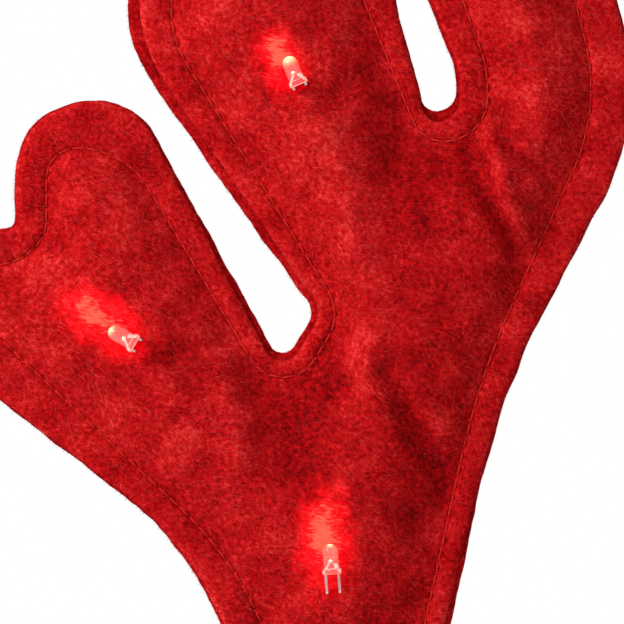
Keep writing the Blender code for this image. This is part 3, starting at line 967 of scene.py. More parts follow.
@dataclass
class AntlerPattern:
    """The flat pattern of one antler, in millimetres from the middle of its foot."""

    crown_radius: float
    leg_height: float
    span: float = 155.0
    height: float = 194.0
    tine_width: float = 28.0
    seam_allowance: float = 6.5
    clearance: float = 0.3
    cuff_wall: float = 1.2
    cuff_angle: float = 48.0
    spacing: float = 1.25
    rings: tuple[float, ...] = (-1.0, -0.4, 0.0, 0.4, 1.0, 2.0)
    fine_lines: list[tuple[np.ndarray, np.ndarray]] = field(default_factory=list)

    def __post_init__(self) -> None:
        """Works out the foot's place and the seam."""
        turn = math.radians(self.cuff_angle)
        self.foot_radius = self.crown_radius + 2 * self.clearance + self.cuff_wall
        self.foot = self.foot_radius * np.array((-math.sin(turn), math.cos(turn)))
        self.corners = np.array([self.spot(c.across, c.up) for c in CORNERS])
        self.radii = np.array([c.turn for c in CORNERS]) * self.tine_width
        allowances = [(c.coming or c.allowance, c.allowance) for c in CORNERS]
        self.insets = np.array(allowances) * self.seam_allowance
        self.eases = np.array([c.ease for c in CORNERS]) * self.tine_width
        self.shows = np.array([(c.showed or c.shows, c.shows) for c in CORNERS])
        self.seam = resampled(self.above_foot(self.ring(self.insets, 1.0)), 0.2)
        self.cut_edges = {
            Facing.FRONT: self.above_foot(self.ring(self.shows)),
            Facing.BACK: self.above_foot(self.ring(0 * self.shows)),
        }

    def spot(self, across: float, up: float) -> np.ndarray:
        """A place on the pattern from shares of the span and height."""
        return np.array((across * self.span, up * self.height))

    def ring(self, insets: np.ndarray, eased: float = 0.0) -> np.ndarray:
        """The rounded outline set in from the cut edge.

        Args:
            insets: How far in, before and after each corner.
            eased: How much of the seam's wider turns it takes.

        Returns:
            The outline's points.
        """
        before = np.roll(self.corners, 1, axis=0) - self.corners
        after = np.roll(self.corners, -1, axis=0) - self.corners
        middle = insets.mean(axis=1)
        grown = np.where(cross(before.T, after.T) > 0, -middle, middle) + eased * self.eases
        return rounded(offset_corners(self.corners, insets), np.maximum(self.radii + grown, 0))

    def above_foot(self, points: np.ndarray) -> np.ndarray:
        """The stretch of a closed outline outside the cuff, ending on the cuff's circle.

        Args:
            points: The outline.

        Returns:
            The open stretch.
        """
        reach = np.hypot(*(points + self.foot).T) - self.foot_radius
        first = int(np.flatnonzero((np.roll(reach, 1) < 0) & (reach >= 0))[0])
        points, reach = np.roll(points, -first, axis=0), np.roll(reach, -first)
        last = int(np.flatnonzero(reach < 0)[0])

        def crossing(out: int, within: int) -> np.ndarray:
            """Where the way from a point outside to one inside meets the foot's circle."""
            share = reach[out] / (reach[out] - reach[within])
            point = points[out] + (points[within] - points[out]) * share
            return unit(point + self.foot) * self.foot_radius - self.foot

        return np.vstack((crossing(0, -1), points[:last], crossing(last - 1, last)))

    def foot_arc(self, start: np.ndarray, end: np.ndarray) -> np.ndarray:
        """Points along the foot from start to end, both left out.

        Args:
            start: One end of the arc.
            end: The other end.

        Returns:
            The points between.
        """
        turns = [math.atan2(*(point + self.foot)[::-1]) for point in (start, end)]
        steps = round(abs(turns[1] - turns[0]) * self.foot_radius / self.spacing)
        between = np.linspace(*turns, steps + 1)[1:-1]
        circle = np.stack((np.cos(between), np.sin(between)), axis=1)
        return circle * self.foot_radius - self.foot

    def outline(self, facing: Facing) -> np.ndarray:
        """One layer's closed cut edge, evenly spaced and wavy as if cut by hand.

        Args:
            facing: The layer.

        Returns:
            The outline's points.
        """
        edge = resampled(self.cut_edges[facing], self.spacing * 0.75)
        along = np.gradient(edge, axis=0)
        inward = np.stack((along[:, 1], -along[:, 0]), axis=1)
        inward /= np.hypot(*inward.T)[:, None]
        seed = 40 + facing.value
        wave = 0.05 * waves(edge, 3.1, seed) + 0.14 * waves(edge, 11.0, seed + 5)
        wave[[0, -1]] = 0.0
        edge = edge + inward * (wave + 0.1)[:, None]
        return np.vstack((edge, self.foot_arc(edge[-1], edge[0])))

    def sheet(self, facing: Facing) -> tuple[np.ndarray, Triangles]:
        """One layer's flat sheet, finest along its seam.

        Args:
            facing: The layer.

        Returns:
            Its points and triangles.
        """
        outline = self.outline(facing)
        paths = [
            resampled(self.above_foot(self.ring(self.insets + step, 1.0)), self.spacing * 0.6)[1:-1]
            for step in self.rings
        ]
        if facing is Facing.FRONT:
            paths.extend(self.fine_patch(*ends) for ends in self.fine_lines)
        lines = np.vstack(paths)
        grid = filled(outline, np.vstack((lines, outline)), self.spacing, 0.62, 2)
        edge_away, _ = nearest(lines, outline)
        lines = lines[(edge_away > 0.4) & inside(lines, outline)]
        return triangulated(outline, np.vstack((lines, grid)))

    @staticmethod
    def fine_patch(start: np.ndarray, end: np.ndarray) -> np.ndarray:
        """Closely spaced points round a short line, where a lamp's leads go in.

        Args:
            start: The line's start.
            end: Its end.

        Returns:
            The points.
        """
        along = unit(end - start)
        beside = np.array((-along[1], along[0]))
        reach = float(np.hypot(*(end - start)))
        runs, rows = np.meshgrid(np.arange(-1.2, reach + 1.3, 0.3), np.arange(-1.2, 1.3, 0.3))
        return start + runs.reshape(-1, 1) * along + rows.reshape(-1, 1) * beside

@dataclass
class Stuffing:
    """Cloth simulation that blows up a layer of felt inside its seam, for its wrinkles.

    It is run ten times as large as life, because the solver is tuned for garments.
    """

    pattern: AntlerPattern
    spacing: float = 2.6
    scale: float = 0.01
    crown: float = 3.0
    excess: float = 0.035
    pressure: float = 4.0
    frames: int = 20
    smoothing: int = 14
    size: float = 0.28
    cap: float = 0.8

    def blank(self) -> tuple[np.ndarray, Triangles, int]:
        """The flat felt inside the seam.

        Returns:
            Its points, its triangles and how many points lie on the seam.
        """
        seam = resampled(self.pattern.seam, self.spacing)
        outline = np.vstack((seam, self.pattern.foot_arc(seam[-1], seam[0])[::2]))
        grid = filled(outline, outline, self.spacing, 0.6)
        return *triangulated(outline, grid), len(outline)

    def blown(self, name: str, seed: int) -> tuple[np.ndarray, np.ndarray]:
        """Blows the felt up and takes its wrinkles.

        Args:
            name: The simulated object's name.
            seed: Sets the small unevenness that it starts from.

        Returns:
            Flat points, and the wrinkles' height at each.
        """
        flat, faces, fixed = self.blank()
        away, _ = nearest(flat, self.pattern.seam)
        start = self.crown * (1 - np.exp(-away / 6.0)) + 0.25 * waves(flat, 9.0, seed)
        start[:fixed] = 0.0
        points = np.column_stack((flat, start)) * self.scale
        mesh = bpy.data.meshes.new(name)
        mesh.from_pydata(points.tolist(), [], faces)
        felt = added(name, mesh)
        pins = felt.vertex_groups.new(name="seam")
        pins.add(list(range(fixed)), 1.0, "REPLACE")
        cloth = felt.modifiers.new("felt", "CLOTH")
        cloth.point_cache.frame_end = self.frames
        settings = {"quality": 6, "mass": 0.3, "vertex_group_mass": "seam", "air_damping": 3.0}
        settings.update(tension_stiffness=25.0, compression_stiffness=25.0, shear_stiffness=10.0)
        settings.update(bending_stiffness=0.6, shrink_min=-self.excess)
        settings.update(use_pressure=True, uniform_pressure_force=self.pressure)
        for label, value in settings.items():
            setattr(cloth.settings, label, value)
        cloth.settings.effector_weights.gravity = 0.0
        scene = bpy.context.scene
        for frame in range(1, self.frames + 1):
            scene.frame_set(frame)
        done = felt.evaluated_get(bpy.context.evaluated_depsgraph_get())
        height = np.array([vertex.co.z for vertex in done.data.vertices]) / self.scale
        bpy.data.objects.remove(felt)
        scene.frame_set(1)
        wrinkles = height - self.smoothed(height, faces, fixed)
        wrinkles *= self.size / max(float(wrinkles.std()), 1e-6)
        log.info("%s: simulated height %.2f mm at most", name, height.max())
        return flat, wrinkles.clip(-self.cap, self.cap)

    def smoothed(self, height: np.ndarray, faces: Triangles, fixed: int) -> np.ndarray:
        """The simulated crown without its wrinkles.

        Args:
            height: The height at each point.
            faces: The triangles.
            fixed: How many points lie on the seam.

        Returns:
            The smooth height at each point.
        """
        ends = np.array(sorted({pair for a, b, c in faces for pair in ((a, b), (b, c), (c, a))}))
        count = np.maximum(np.bincount(ends[:, 0], minlength=len(height)), 1)
        smooth = height.copy()
        for _ in range(self.smoothing):
            total = np.bincount(ends[:, 0], weights=smooth[ends[:, 1]], minlength=len(height))
            smooth = 0.5 * smooth + 0.5 * total / count
            smooth[:fixed] = height[:fixed]
        return smooth


@dataclass
class FeltRelief:
    """How far each layer of felt stands off the antler's middle plane, in millimetres."""

    pattern: AntlerPattern
    felt_wall: float = 1.6
    puff_height: float = 6.5
    puff_reach: float = 9.0
    fold_fade: float = 2.8
    groove_depth: float = 0.60
    groove_width: float = 0.36
    hole_depth: float = 0.7
    flange_loft: float = 0.06
    seam_ease: float = 1.15
    stitch_length: float = 2.8
    seam_reach: float = 5.0
    seam_rise: float = 1.2
    flange_rise: float = 1.4
    lift_rise: float = 0.8
    lamp_seat: float = 0.35
    seat_width: float = 2.2
    # How deep a fold's valley goes, in millimetres, where its painted shade is full.
    crush_height: float = 1.6
    pucker: float = 0.34
    pucker_size: float = 8.0
    swell: float = 0.20
    swell_size: float = 15.0
    swell_reach: float = 8.0
    ripple: float = 0.11
    ripple_size: float = 5.0
    grain: float = 0.05
    grain_size: float = 2.2
    edge_round: float = 0.32
    edge_width: float = 0.5
    slit_depth: float = 1.3
    slit_width: float = 0.42
    slit_lip: float = 0.25
    lip_away: float = 0.9
    lip_width: float = 0.5
    slits: list[tuple[np.ndarray, np.ndarray]] = field(default_factory=list)
    seats: list[tuple[np.ndarray, np.ndarray]] = field(default_factory=list)

    def __post_init__(self) -> None:
        """Runs the cloth simulation of each layer."""
        stuffing = Stuffing(self.pattern)
        self.wrinkled = {}
        for facing in Facing:
            flat, height = stuffing.blown(f"{facing.name.lower()}_blank", 60 + facing.value)
            self.wrinkled[facing] = (flat_tree(flat), height)

    def wrinkles(self, points: np.ndarray, depth: np.ndarray, facing: Facing) -> np.ndarray:
        """The simulated wrinkles between the seams.

        Args:
            points: Flat points.
            depth: Their distance in from the seam.
            facing: The layer.

        Returns:
            The wrinkles' height at each point.
        """
        tree, height = self.wrinkled[facing]
        lift = np.zeros(len(points))
        for i in np.flatnonzero(depth > 0):
            found = tree.find_n((*points[i], 0.0), 7)
            share = np.exp(-(np.array([item[2] for item in found]) ** 2) / 3.4)
            lift[i] = share @ height[[item[1] for item in found]] / share.sum()
        return lift * risen(depth, self.lift_rise)

    def depth(self, points: np.ndarray) -> tuple[np.ndarray, np.ndarray]:
        """Distance in from the seam, negative outside it, and distance run along it.

        Args:
            points: Flat points.

        Returns:
            Both distances.
        """
        seam = self.pattern.seam
        away, index = nearest(points, seam)
        step = np.hypot(*(seam[1] - seam[0]))
        return np.where(inside(points, seam[::3]), away, -away), index * step

    def plain(self, depth: np.ndarray) -> np.ndarray:
        """The puff of the filling under smooth felt."""
        return self.puff_height * (1 - np.exp(-np.maximum(depth, 0) / self.puff_reach))

    def folds(self, points: np.ndarray, depth: np.ndarray) -> np.ndarray:
        """How far the folds raise or sink the front felt.

        Args:
            points: Flat points.
            depth: Their distance in from the seam.

        Returns:
            The change in height.
        """
        change = np.zeros(len(points))
        spot = self.pattern.spot
        for fold in FOLDS:
            away = np.min([
                away_from_line(points, spot(*start), spot(*end))
                for start, end in zip(fold.path, fold.path[1:])
            ], axis=0)
            width = fold.width * self.pattern.tine_width
            change -= fold.depth * self.puff_height * np.exp(-((away / width) ** 2))
        return change * (1 - np.exp(-np.maximum(depth, 0) / self.fold_fade))

    def change(self, points: np.ndarray, depth: np.ndarray, facing: Facing) -> np.ndarray:
        """How far wrinkles, and folds at the front, move the felt from its plain puff.

        Args:
            points: Flat points.
            depth: Their distance in from the seam.
            facing: The layer.

        Returns:
            The change in height.
        """
        change = self.wrinkles(points, depth, facing)
        if facing is Facing.FRONT:
            change = change + self.folds(points, depth)
        return change

    def crease(self, points: np.ndarray, depth: np.ndarray, facing: Facing) -> np.ndarray:
        """How much painted shade the folds give the felt: 1 in a deep valley, and -0.5, painted
        light, on a high ridge.
        """
        return (-self.change(points, depth, facing) / self.crush_height).clip(-0.5, 1)

    def inner(self, points: np.ndarray, depth: np.ndarray, facing: Facing) -> np.ndarray:
        """The distance of the felt's inner face, against the filling, from the middle plane."""
        puff = np.maximum(self.plain(depth) + self.change(points, depth, facing), 0)
        return self.pattern.clearance / 2 + puff

    def outer(
        self, points: np.ndarray, facing: Facing, edge: np.ndarray, groove: float = 1.0
    ) -> np.ndarray:
        """The felt's outer face, with the seam's groove, puckers, dents and the cut edge.

        Args:
            points: Flat points.
            facing: The layer.
            edge: The layer's cut edge.
            groove: How much of the seam's groove is taken out.

        Returns:
            The distances from the middle plane.
        """
        seed = 7 + facing.value
        depth, run = self.depth(points)
        rise = self.inner(points, depth, facing) + self.felt_wall
        hole = (0.5 - 0.5 * np.cos(run * math.tau / self.stitch_length)) ** 3
        pull = groove * (self.groove_depth + self.hole_depth * hole)
        rise -= pull * faded(depth, self.groove_width)
        rise -= self.seam_ease * faded(depth, self.seam_reach) * risen(depth, self.seam_rise)
        rise += self.flange_loft * risen(-depth, self.flange_rise)
        off = np.abs(depth)
        within = np.exp(-off / self.seam_reach) * risen(off, self.seam_rise)
        along = np.stack((run, np.zeros_like(run)), axis=1)
        rise += self.pucker * within * waves(along, self.pucker_size, seed + 1)
        full = np.clip(depth / self.swell_reach, 0.15, 1)
        rise += self.swell * waves(points, self.swell_size, seed + 2) * full
        rise += self.ripple * waves(points, self.ripple_size, seed + 3)
        rise += self.grain * waves(points, self.grain_size, seed + 4, 24)
        away, _ = nearest(points, edge)
        rise -= self.edge_round * faded(away, self.edge_width)
        if facing is Facing.FRONT:
            for start, end in self.slits:
                away = away_from_line(points, start, end)
                rise -= self.slit_depth * faded(away, self.slit_width, 4)
                rise += self.slit_lip * faded(away - self.lip_away, self.lip_width)
            for start, end in self.seats:
                away = away_from_line(points, start, end)
                rise -= self.lamp_seat * faded(away, self.seat_width)
        return rise


def added(name: str, data: bpy.types.ID) -> bpy.types.Object:
    """A new object in the scene, at the origin.

    Args:
        name: Its name.
        data: Its mesh, curve, light or camera.

    Returns:
        The object.
    """
    made = bpy.data.objects.new(name, data)
    bpy.context.scene.collection.objects.link(made)
    return made


@dataclass
class Piece:
    """A finished mesh on its way into the scene, with numbers at its points for its finish."""

    name: str
    points: np.ndarray
    faces: Sequence[Sequence[int]]
    material: bpy.types.Material
    hand: Hand = Hand.LEFT
    smooth: bool = True
    marks: dict[str, np.ndarray] = field(default_factory=dict)

    def make(self) -> bpy.types.Object:
        """Makes the object, mirrored for the right antler.

        Returns:
            The object, at the origin.
        """
        points = self.points * (self.hand.value * MM, MM, MM)
        flip = -1 if self.hand is Hand.RIGHT else 1
        mesh = bpy.data.meshes.new(self.name)
        mesh.from_pydata(points.tolist(), [], [tuple(face[::flip]) for face in self.faces])
        mesh.materials.append(self.material)
        mesh.validate()
        if self.smooth:
            mesh.shade_smooth()
        for label, values in self.marks.items():
            mark = mesh.attributes.new(label, "FLOAT", "POINT")
            mark.data.foreach_set("value", values.astype(np.float32))
        return added(self.name, mesh)


def settle(piece: bpy.types.Object, slot: str, *nodes: str) -> bpy.types.Object:
    """Puts a piece on the frame and reports it.

    Args:
        piece: The piece.
        slot: The record's material slot; not used.
        nodes: The frame's nodes that it stands for.

    Returns:
        The piece.
    """
    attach(piece, BODY)
    if nodes:
        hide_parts(*nodes)
    log.info("%s: %d faces", piece.name, len(piece.data.polygons))
    return piece


def as_plain_mesh(carrier: bpy.types.Object, name: str) -> bpy.types.Object:
    """Turns what a carrier's Geometry Nodes make into a plain mesh, and removes the carrier.

    Args:
        carrier: The object with the modifier.
        name: The new piece's name.

    Returns:
        The new object, at the origin.
    """
    graph = bpy.context.evaluated_depsgraph_get()
    mesh = bpy.data.meshes.new_from_object(carrier.evaluated_get(graph))
    mesh.name = name
    bpy.data.objects.remove(carrier)
    return added(name, mesh)


class NodeMaker:
    """A Geometry Nodes tree with named inputs, which ends in Realize Instances and Set Material."""

    def __init__(self, name: str, sizes: dict[str, float]) -> None:
        """Starts the tree.

        Args:
            name: The tree's name.
            sizes: Its number inputs and their defaults.
        """
        self.tree = bpy.data.node_groups.new(name, "GeometryNodeTree")
        self.graph = Graph(self.tree)
        panel = self.tree.interface
        panel.new_socket("Geometry", in_out="INPUT", socket_type="NodeSocketGeometry")
        panel.new_socket("Geometry", in_out="OUTPUT", socket_type="NodeSocketGeometry")
        self.keys = {}
        for label, value in sizes.items():
            kind = "NodeSocketInt" if isinstance(value, int) else "NodeSocketFloat"
            socket = panel.new_socket(label, in_out="INPUT", socket_type=kind)
            socket.default_value = value
            self.keys[label] = socket.identifier
        material = panel.new_socket("Material", in_out="INPUT", socket_type="NodeSocketMaterial")
        self.keys["Material"] = material.identifier
        self.inputs = self.graph.node("NodeGroupInput")

    def value(self, label: str) -> Signal:
        """One of the tree's inputs."""
        return Signal(self.graph, self.inputs.outputs[label])

    def end(self, instances: bpy.types.NodeSocket) -> None:
        """Realizes the instances and gives them the material.

        Args:
            instances: The instances' socket.
        """
        graph = self.graph
        real = graph.out("GeometryNodeRealizeInstances", None, {0: instances})
        inputs = {"Geometry": real, "Material": self.inputs.outputs["Material"]}
        graph.node("NodeGroupOutput", None, {0: graph.out("GeometryNodeSetMaterial", None, inputs)})

    def random(self, low: float, high: float, seed: Any) -> Signal:
        """A random number from low to high for each point."""
        inputs = {2: low, 3: high, "Seed": seed}
        return self.graph.signal("FunctionNodeRandomValue", {"data_type": "FLOAT"}, inputs, 1)

    def grow(
        self, carrier: bpy.types.Object, name: str, values: dict[str, Any]
    ) -> bpy.types.Object:
        """Runs the tree on a carrier.

        Args:
            carrier: The object whose mesh or curve the tree reads.
            name: The new piece's name.
            values: Inputs that differ from their defaults.

        Returns:
            The plain mesh that it made.
        """
        modifier = carrier.modifiers.new(self.tree.name, "NODES")
        modifier.node_group = self.tree
        for label, value in values.items():
            modifier[self.keys[label]] = value
        return as_plain_mesh(carrier, name)


def nap_maker() -> NodeMaker:
    """The tree that grows felt fibres over a surface: thin bent strips that lie down.

    Returns:
        The tree.
    """
    sizes = {"Density": 2.6e6, "Length": 1.9 * MM, "Width": 0.045 * MM}
    maker = NodeMaker("felt_nap", {**sizes, "Lean": 1.31, "Heading": 0.95, "Seed": 1})
    graph, value = maker.graph, maker.value
    grid = {"Size X": 1.0, "Size Y": 1.0, "Vertices X": 2, "Vertices Y": 3}
    strip = graph.out("GeometryNodeMeshGrid", None, grid, "Mesh")
    place = graph.out("GeometryNodeInputPosition")
    across, up, _ = graph.split(place)
    share = up + 0.5
    bent = graph.out("ShaderNodeCombineXYZ", None, {
        "X": across * value("Width") * (1.0 - share),
        "Y": share * share * value("Length") * -0.2,
        "Z": share * value("Length"),
    })
    fibre = graph.out("GeometryNodeSetPosition", None, {"Geometry": strip, "Position": bent})
    fibre = graph.out("GeometryNodeMergeByDistance", None, {0: fibre, "Distance": 1e-6})
    spread = graph.node(
        "GeometryNodeDistributePointsOnFaces",
        {"distribute_method": "RANDOM"},
        {"Mesh": value("Geometry"), "Density": value("Density"), "Seed": value("Seed")},
    )
    stray = maker.random(-0.75, 0.75, value("Seed"))
    flow = (graph.noise(place, 45.0, 1.0) - 0.5) * 4.2 + value("Heading")
    turned = spread.outputs["Rotation"]
    turns = (((0, 0, 1), flow + stray), ((1, 0, 0), value("Lean") + stray * 0.14))
    for axis, angle in turns:
        turn = graph.out("FunctionNodeAxisAngleToRotation", None, {"Axis": axis, "Angle": angle})
        turned = graph.out(
            "FunctionNodeRotateRotation", {"rotation_space": "LOCAL"}, {0: turned, 1: turn}
        )
    toned = graph.out(
        "GeometryNodeStoreNamedAttribute",
        {"data_type": "FLOAT", "domain": "POINT"},
        {
            "Geometry": spread.outputs["Points"],
            "Name": "hair_tone",
            "Value": maker.random(0.0, 1.0, 8),
        },
    )
    size = maker.random(0.45, 1.35, 5)
    placed = {"Points": toned, "Instance": fibre, "Rotation": turned, "Scale": size}
    maker.end(graph.out("GeometryNodeInstanceOnPoints", None, placed))
    return maker


def stitch_maker() -> NodeMaker:
    """The tree that sews stitches along a curve: short arched threads that dip at their ends.

    Returns:
        The tree.
    """
    maker = NodeMaker(
        "topstitch", {"Pitch": 2.8 * MM, "Thread": 0.17 * MM, "Rise": 0.3 * MM, "Out": -1.0}
    )
    graph, value = maker.graph, maker.value
    half = value("Pitch") * 0.44
    bow = {"Resolution": 4}
    for label, side, level in (("Start", -1.0, -1.6), ("Middle", 0.0, 2.2), ("End", 1.0, -1.6)):
        place = {"X": half * side, "Z": value("Rise") * level}
        bow[label] = graph.out("ShaderNodeCombineXYZ", None, place)
    arch = graph.out("GeometryNodeCurveQuadraticBezier", None, bow)
    circle = {"Resolution": 6, "Radius": value("Thread")}
    ring = graph.out("GeometryNodeCurvePrimitiveCircle", None, circle)
    thread = graph.out(
        "GeometryNodeCurveToMesh", None, {"Curve": arch, "Profile Curve": ring, "Fill Caps": True}
    )
    places = graph.node(
        "GeometryNodeCurveToPoints",
        {"mode": "LENGTH"},
        {"Curve": value("Geometry"), "Length": value("Pitch")},
    )
    outward = graph.out("ShaderNodeCombineXYZ", None, {"Y": value("Out")})
    align = "FunctionNodeAlignRotationToVector"
    along = graph.out(align, {"axis": "X"}, {"Vector": places.outputs["Tangent"]})
    turned = graph.out(
        align, {"axis": "Z", "pivot_axis": "X"}, {"Rotation": along, "Vector": outward}
    )
    sewn = {"Points": places.outputs["Points"], "Instance": thread, "Rotation": turned}
    maker.end(graph.out("GeometryNodeInstanceOnPoints", None, sewn))
    return maker


@dataclass
class Finishes:
    """The materials of the headband, made once and shared by its pieces."""

    spots: tuple[GlowSpot, ...]
    tips: tuple[tuple[float, float, float], ...]

    def __post_init__(self) -> None:
        """Makes each material."""
        red = FeltFinish(
            "red_felt",
            (0.095, 0.0000, 0.0006),
            (0.360, 0.0010, 0.0024),
            (0.570, 0.0080, 0.0095),
            (0.760, 0.0420, 0.0400),
            spots=self.spots,
        )
        # The back felt is the front felt in darker tones with no edge highlight: painted shade for
        # the strip of back layer that shows beside the front layer's cut edge.
        back = FeltFinish(
            "dark_red_felt",
            (0.085, 0.0000, 0.0006),
            (0.300, 0.0007, 0.0019),
            (0.490, 0.0055, 0.0066),
            (0.680, 0.0340, 0.0330),
            edge_highlight=0.0,
        ).material()
        self.band = FeltFinish(
            "band_felt", red.hollow, red.middle, red.light, red.hair, contrast=0.8
        ).material()
        tones = ((0.13, 0.0, 0.001), (0.44, 0.003, 0.004), (0.78, 0.078, 0.072))
        front_nap = NapFinish("red_nap", *tones, spots=self.spots).material()
        self.plain_nap = NapFinish("plain_red_nap", *tones).material()
        self.felt = {
            Facing.FRONT: (red.material(), front_nap, "red_felt"),
            Facing.BACK: (back, self.plain_nap, "dark_red_felt"),
        }
        self.thread = PlainFinish(
            "red_thread", (0.70, 0.026, 0.016), (0.45, 0.004, 0.004), 0.7, grain=4.0, specular=0.1
        ).material()
        self.filling = PlainFinish(
            "white_filling", (0.86, 0.86, 0.84), (0.70, 0.70, 0.69), 0.95, grain=0.7, relief=0.6
        ).material()
        # The wire's warm pink tint is a painted reflection of the red felt and the lamps' red
        # light.
        self.metal = PlainFinish(
            "tinned_wire", (1.0, 0.82, 0.74), (0.80, 0.54, 0.48), 0.28, 0.85, grain=3.0
        ).material()
        reach = tuple(place.bright for place in LAMPS)
        self.resin = ResinFinish("clear_resin", self.tips, reach).material()
        self.chip = LitFinish("lit_chip", (1.0, 0.85, 0.6), (1.0, 0.5, 0.3), 9.0).material()
        self.edge = LitFinish(
            "lit_rim", (1.0, 0.80, 0.75), (0.80, 0.36, 0.32), 0.9, grain=1.1
        ).material()
        self.holder = LitFinish(
            "lit_metal", (0.95, 0.66, 0.60), (0.28, 0.05, 0.045), 0.65, 1.6, (0.8, 0.7, 0.68)
        ).material()


@dataclass
class Antler:
    """One antler: two felt layers with their nap and stitches, and the filling."""

    hand: Hand
    pattern: AntlerPattern
    relief: FeltRelief
    finishes: Finishes
    nap: NodeMaker
    stitches: NodeMaker
    filling_gap: float = 0.3
    filling_inset: float = 1.6
    fuzz: float = 3.0e6
    fuzz_width: float = 1.9
    fuzz_length: float = 0.75 * MM
    edge_width: float = 0.5
    edge_step: float = 0.4
    bare: float = 0.35
    density: dict[Facing, float] = field(
        default_factory=lambda: {Facing.FRONT: 2.4e6, Facing.BACK: 1.3e6}
    )

    def to_frame(self, points: np.ndarray, y: np.ndarray) -> np.ndarray:
        """Flat points at depths y, in the frame's axes and in millimetres."""
        x, z = (points + self.pattern.foot).T
        return np.stack((x, y, z + self.pattern.leg_height), axis=1)

    @staticmethod
    def backed(faces: Triangles, count: int) -> tuple[list, list]:
        """What closes a sheet whose points are repeated on its other side.

        Args:
            faces: The sheet's triangles.
            count: How many points it has.

        Returns:
            The walls between both sides' rims, and the other side's triangles.
        """
        edges = {(a, b) for face in faces for a, b in zip(face, face[1:] + face[:1])}
        walls = [(b, a, count + a, count + b) for a, b in edges if (b, a) not in edges]
        return walls, [tuple(count + i for i in face[::-1]) for face in faces]

    def layer(self, facing: Facing) -> None:
        """One felt layer with its fibres and stitches.

        Args:
            facing: The layer.
        """
        flat, faces = self.pattern.sheet(facing)
        edge = resampled(self.pattern.outline(facing), self.edge_step, closed=True)
        depth, _ = self.relief.depth(flat)
        sign = facing.value
        outer = self.to_frame(flat, sign * self.relief.outer(flat, facing, edge))
        inner = self.to_frame(flat, sign * self.relief.inner(flat, depth, facing))
        points = np.vstack((outer, inner))
        outside = [face[::-sign] for face in faces]
        walls, lining = self.backed(outside, len(flat))
        away, _ = nearest(flat, edge)
        # The mask of the cut edge, where the front felt gets a painted highlight.
        cut = faded(away, self.edge_width)
        # Painted shade for the folds' valleys and painted light for their ridges, kept at the
        # points for the finishes.
        crease = self.relief.crease(flat, depth, facing)
        marks = {"cut_edge": np.tile(cut, 2), "crease": np.tile(crease, 2)}
        finish, nap, slot = self.finishes.felt[facing]
        label = f"{self.hand.label}_antler_{facing.name.lower()}"
        parts = (finish, self.hand, True, marks)
        made = Piece(label, points, outside + walls + lining, *parts).make()
        settle(made, slot, f"{label}_felt")
        open_felt = [face for face in outside if min(abs(depth[i]) for i in face) > self.bare]
        inland = [min(away[i] for i in face) > self.fuzz_width for face in open_felt]
        middle = [face for face, far in zip(open_felt, inland) if far]
        margin = [face for face, far in zip(open_felt, inland) if not far]
        seed = 3 + self.hand.value + 5 * sign
        fibres = {"Density": self.density[facing], "Seed": seed, "Material": nap}
        carrier = Piece("carrier", points, middle, *parts).make()
        settle(self.nap.grow(carrier, f"{label}_nap", fibres), slot)
        fuzz = {**fibres, "Density": self.fuzz, "Length": self.fuzz_length, "Lean": 1.0}
        carrier = Piece("carrier", points, margin + walls, *parts).make()
        settle(self.nap.grow(carrier, f"{label}_edge_fuzz", fuzz), slot)
        self.sew(facing, edge, f"{label}_stitches", slot)

    def sew(self, facing: Facing, edge: np.ndarray, name: str, slot: str) -> None:
        """Sews one layer's topstitching in its groove.

        Args:
            facing: The layer.
            edge: The layer's cut edge.
            name: The piece's name.
            slot: The record's material slot.
        """
        seam = self.pattern.seam[::4]
        level = self.relief.outer(seam, facing, edge, groove=0.0) - 0.22
        points = self.to_frame(seam, facing.value * level)
        points = points * (self.hand.value * MM, MM, MM)
        curve = bpy.data.curves.new("seam", "CURVE")
        curve.dimensions = "3D"
        spline = curve.splines.new("POLY")
        spline.points.add(len(points) - 1)
        for place, point in zip(spline.points, points):
            place.co = (*point, 1.0)
        carrier = added("seam", curve)
        values = {"Out": float(facing.value), "Material": self.finishes.thread}
        settle(self.stitches.grow(carrier, name, values), slot)

    def filling(self) -> None:
        """The soft filling between the layers, in from the seam."""
        flat, faces = self.pattern.sheet(Facing.BACK)
        depth, _ = self.relief.depth(flat)
        faces = [face for face in faces if min(depth[i] for i in face) > self.filling_inset]
        used = sorted({i for face in faces for i in face})
        place = {old: new for new, old in enumerate(used)}
        faces = [tuple(place[i] for i in face) for face in faces]
        flat, depth = flat[used], depth[used]
        lumps = 0.25 * (waves(flat, 6.0, 71) - 1.6).clip(-2, 0)
        points = np.vstack([
            self.to_frame(flat, facing.value * (level - self.filling_gap + lumps))
            for facing in Facing
            for level in (self.relief.inner(flat, depth, facing),)
        ])
        walls, lining = self.backed(faces, len(flat))
        label = f"{self.hand.label}_antler"
        parts = (faces + walls + lining, self.finishes.filling, self.hand)
        made = Piece(f"{label}_wadding", points, *parts).make()
        settle(made, "white_filling", f"{label}_filling")

    def build(self) -> None:
        """Builds the antler."""
        for facing in Facing:
            self.layer(facing)
        self.filling()


def swept(sections: Sequence[np.ndarray]) -> tuple[np.ndarray, list]:
    """A closed body through sections with as many corners each.

    Args:
        sections: The sections, whose corners run anticlockwise seen from ahead of them.

    Returns:
        Its points and faces.
    """
    count = len(sections[0])
    points = np.vstack(sections)
    last = len(points) - count
    faces = [tuple(range(count))[::-1], tuple(range(last, len(points)))]
    for start in range(0, last, count):
        for i in range(count):
            j = (i + 1) % count
            faces.append((start + i, start + j, start + count + j, start + count + i))
    return points, faces


def lathe(stations: Sequence[tuple[float, float]], sides: int) -> tuple[np.ndarray, list]:
    """A closed turned body about z.

    Args:
        stations: Heights and radii from one end to the other, with the end ones more than 0.
        sides: How many sides it has.

    Returns:
        Its points and faces.
    """
    turns = np.arange(sides) * math.tau / sides
    return swept([
        np.array([(radius * math.cos(turn), radius * math.sin(turn), height) for turn in turns])
        for height, radius in stations
    ])


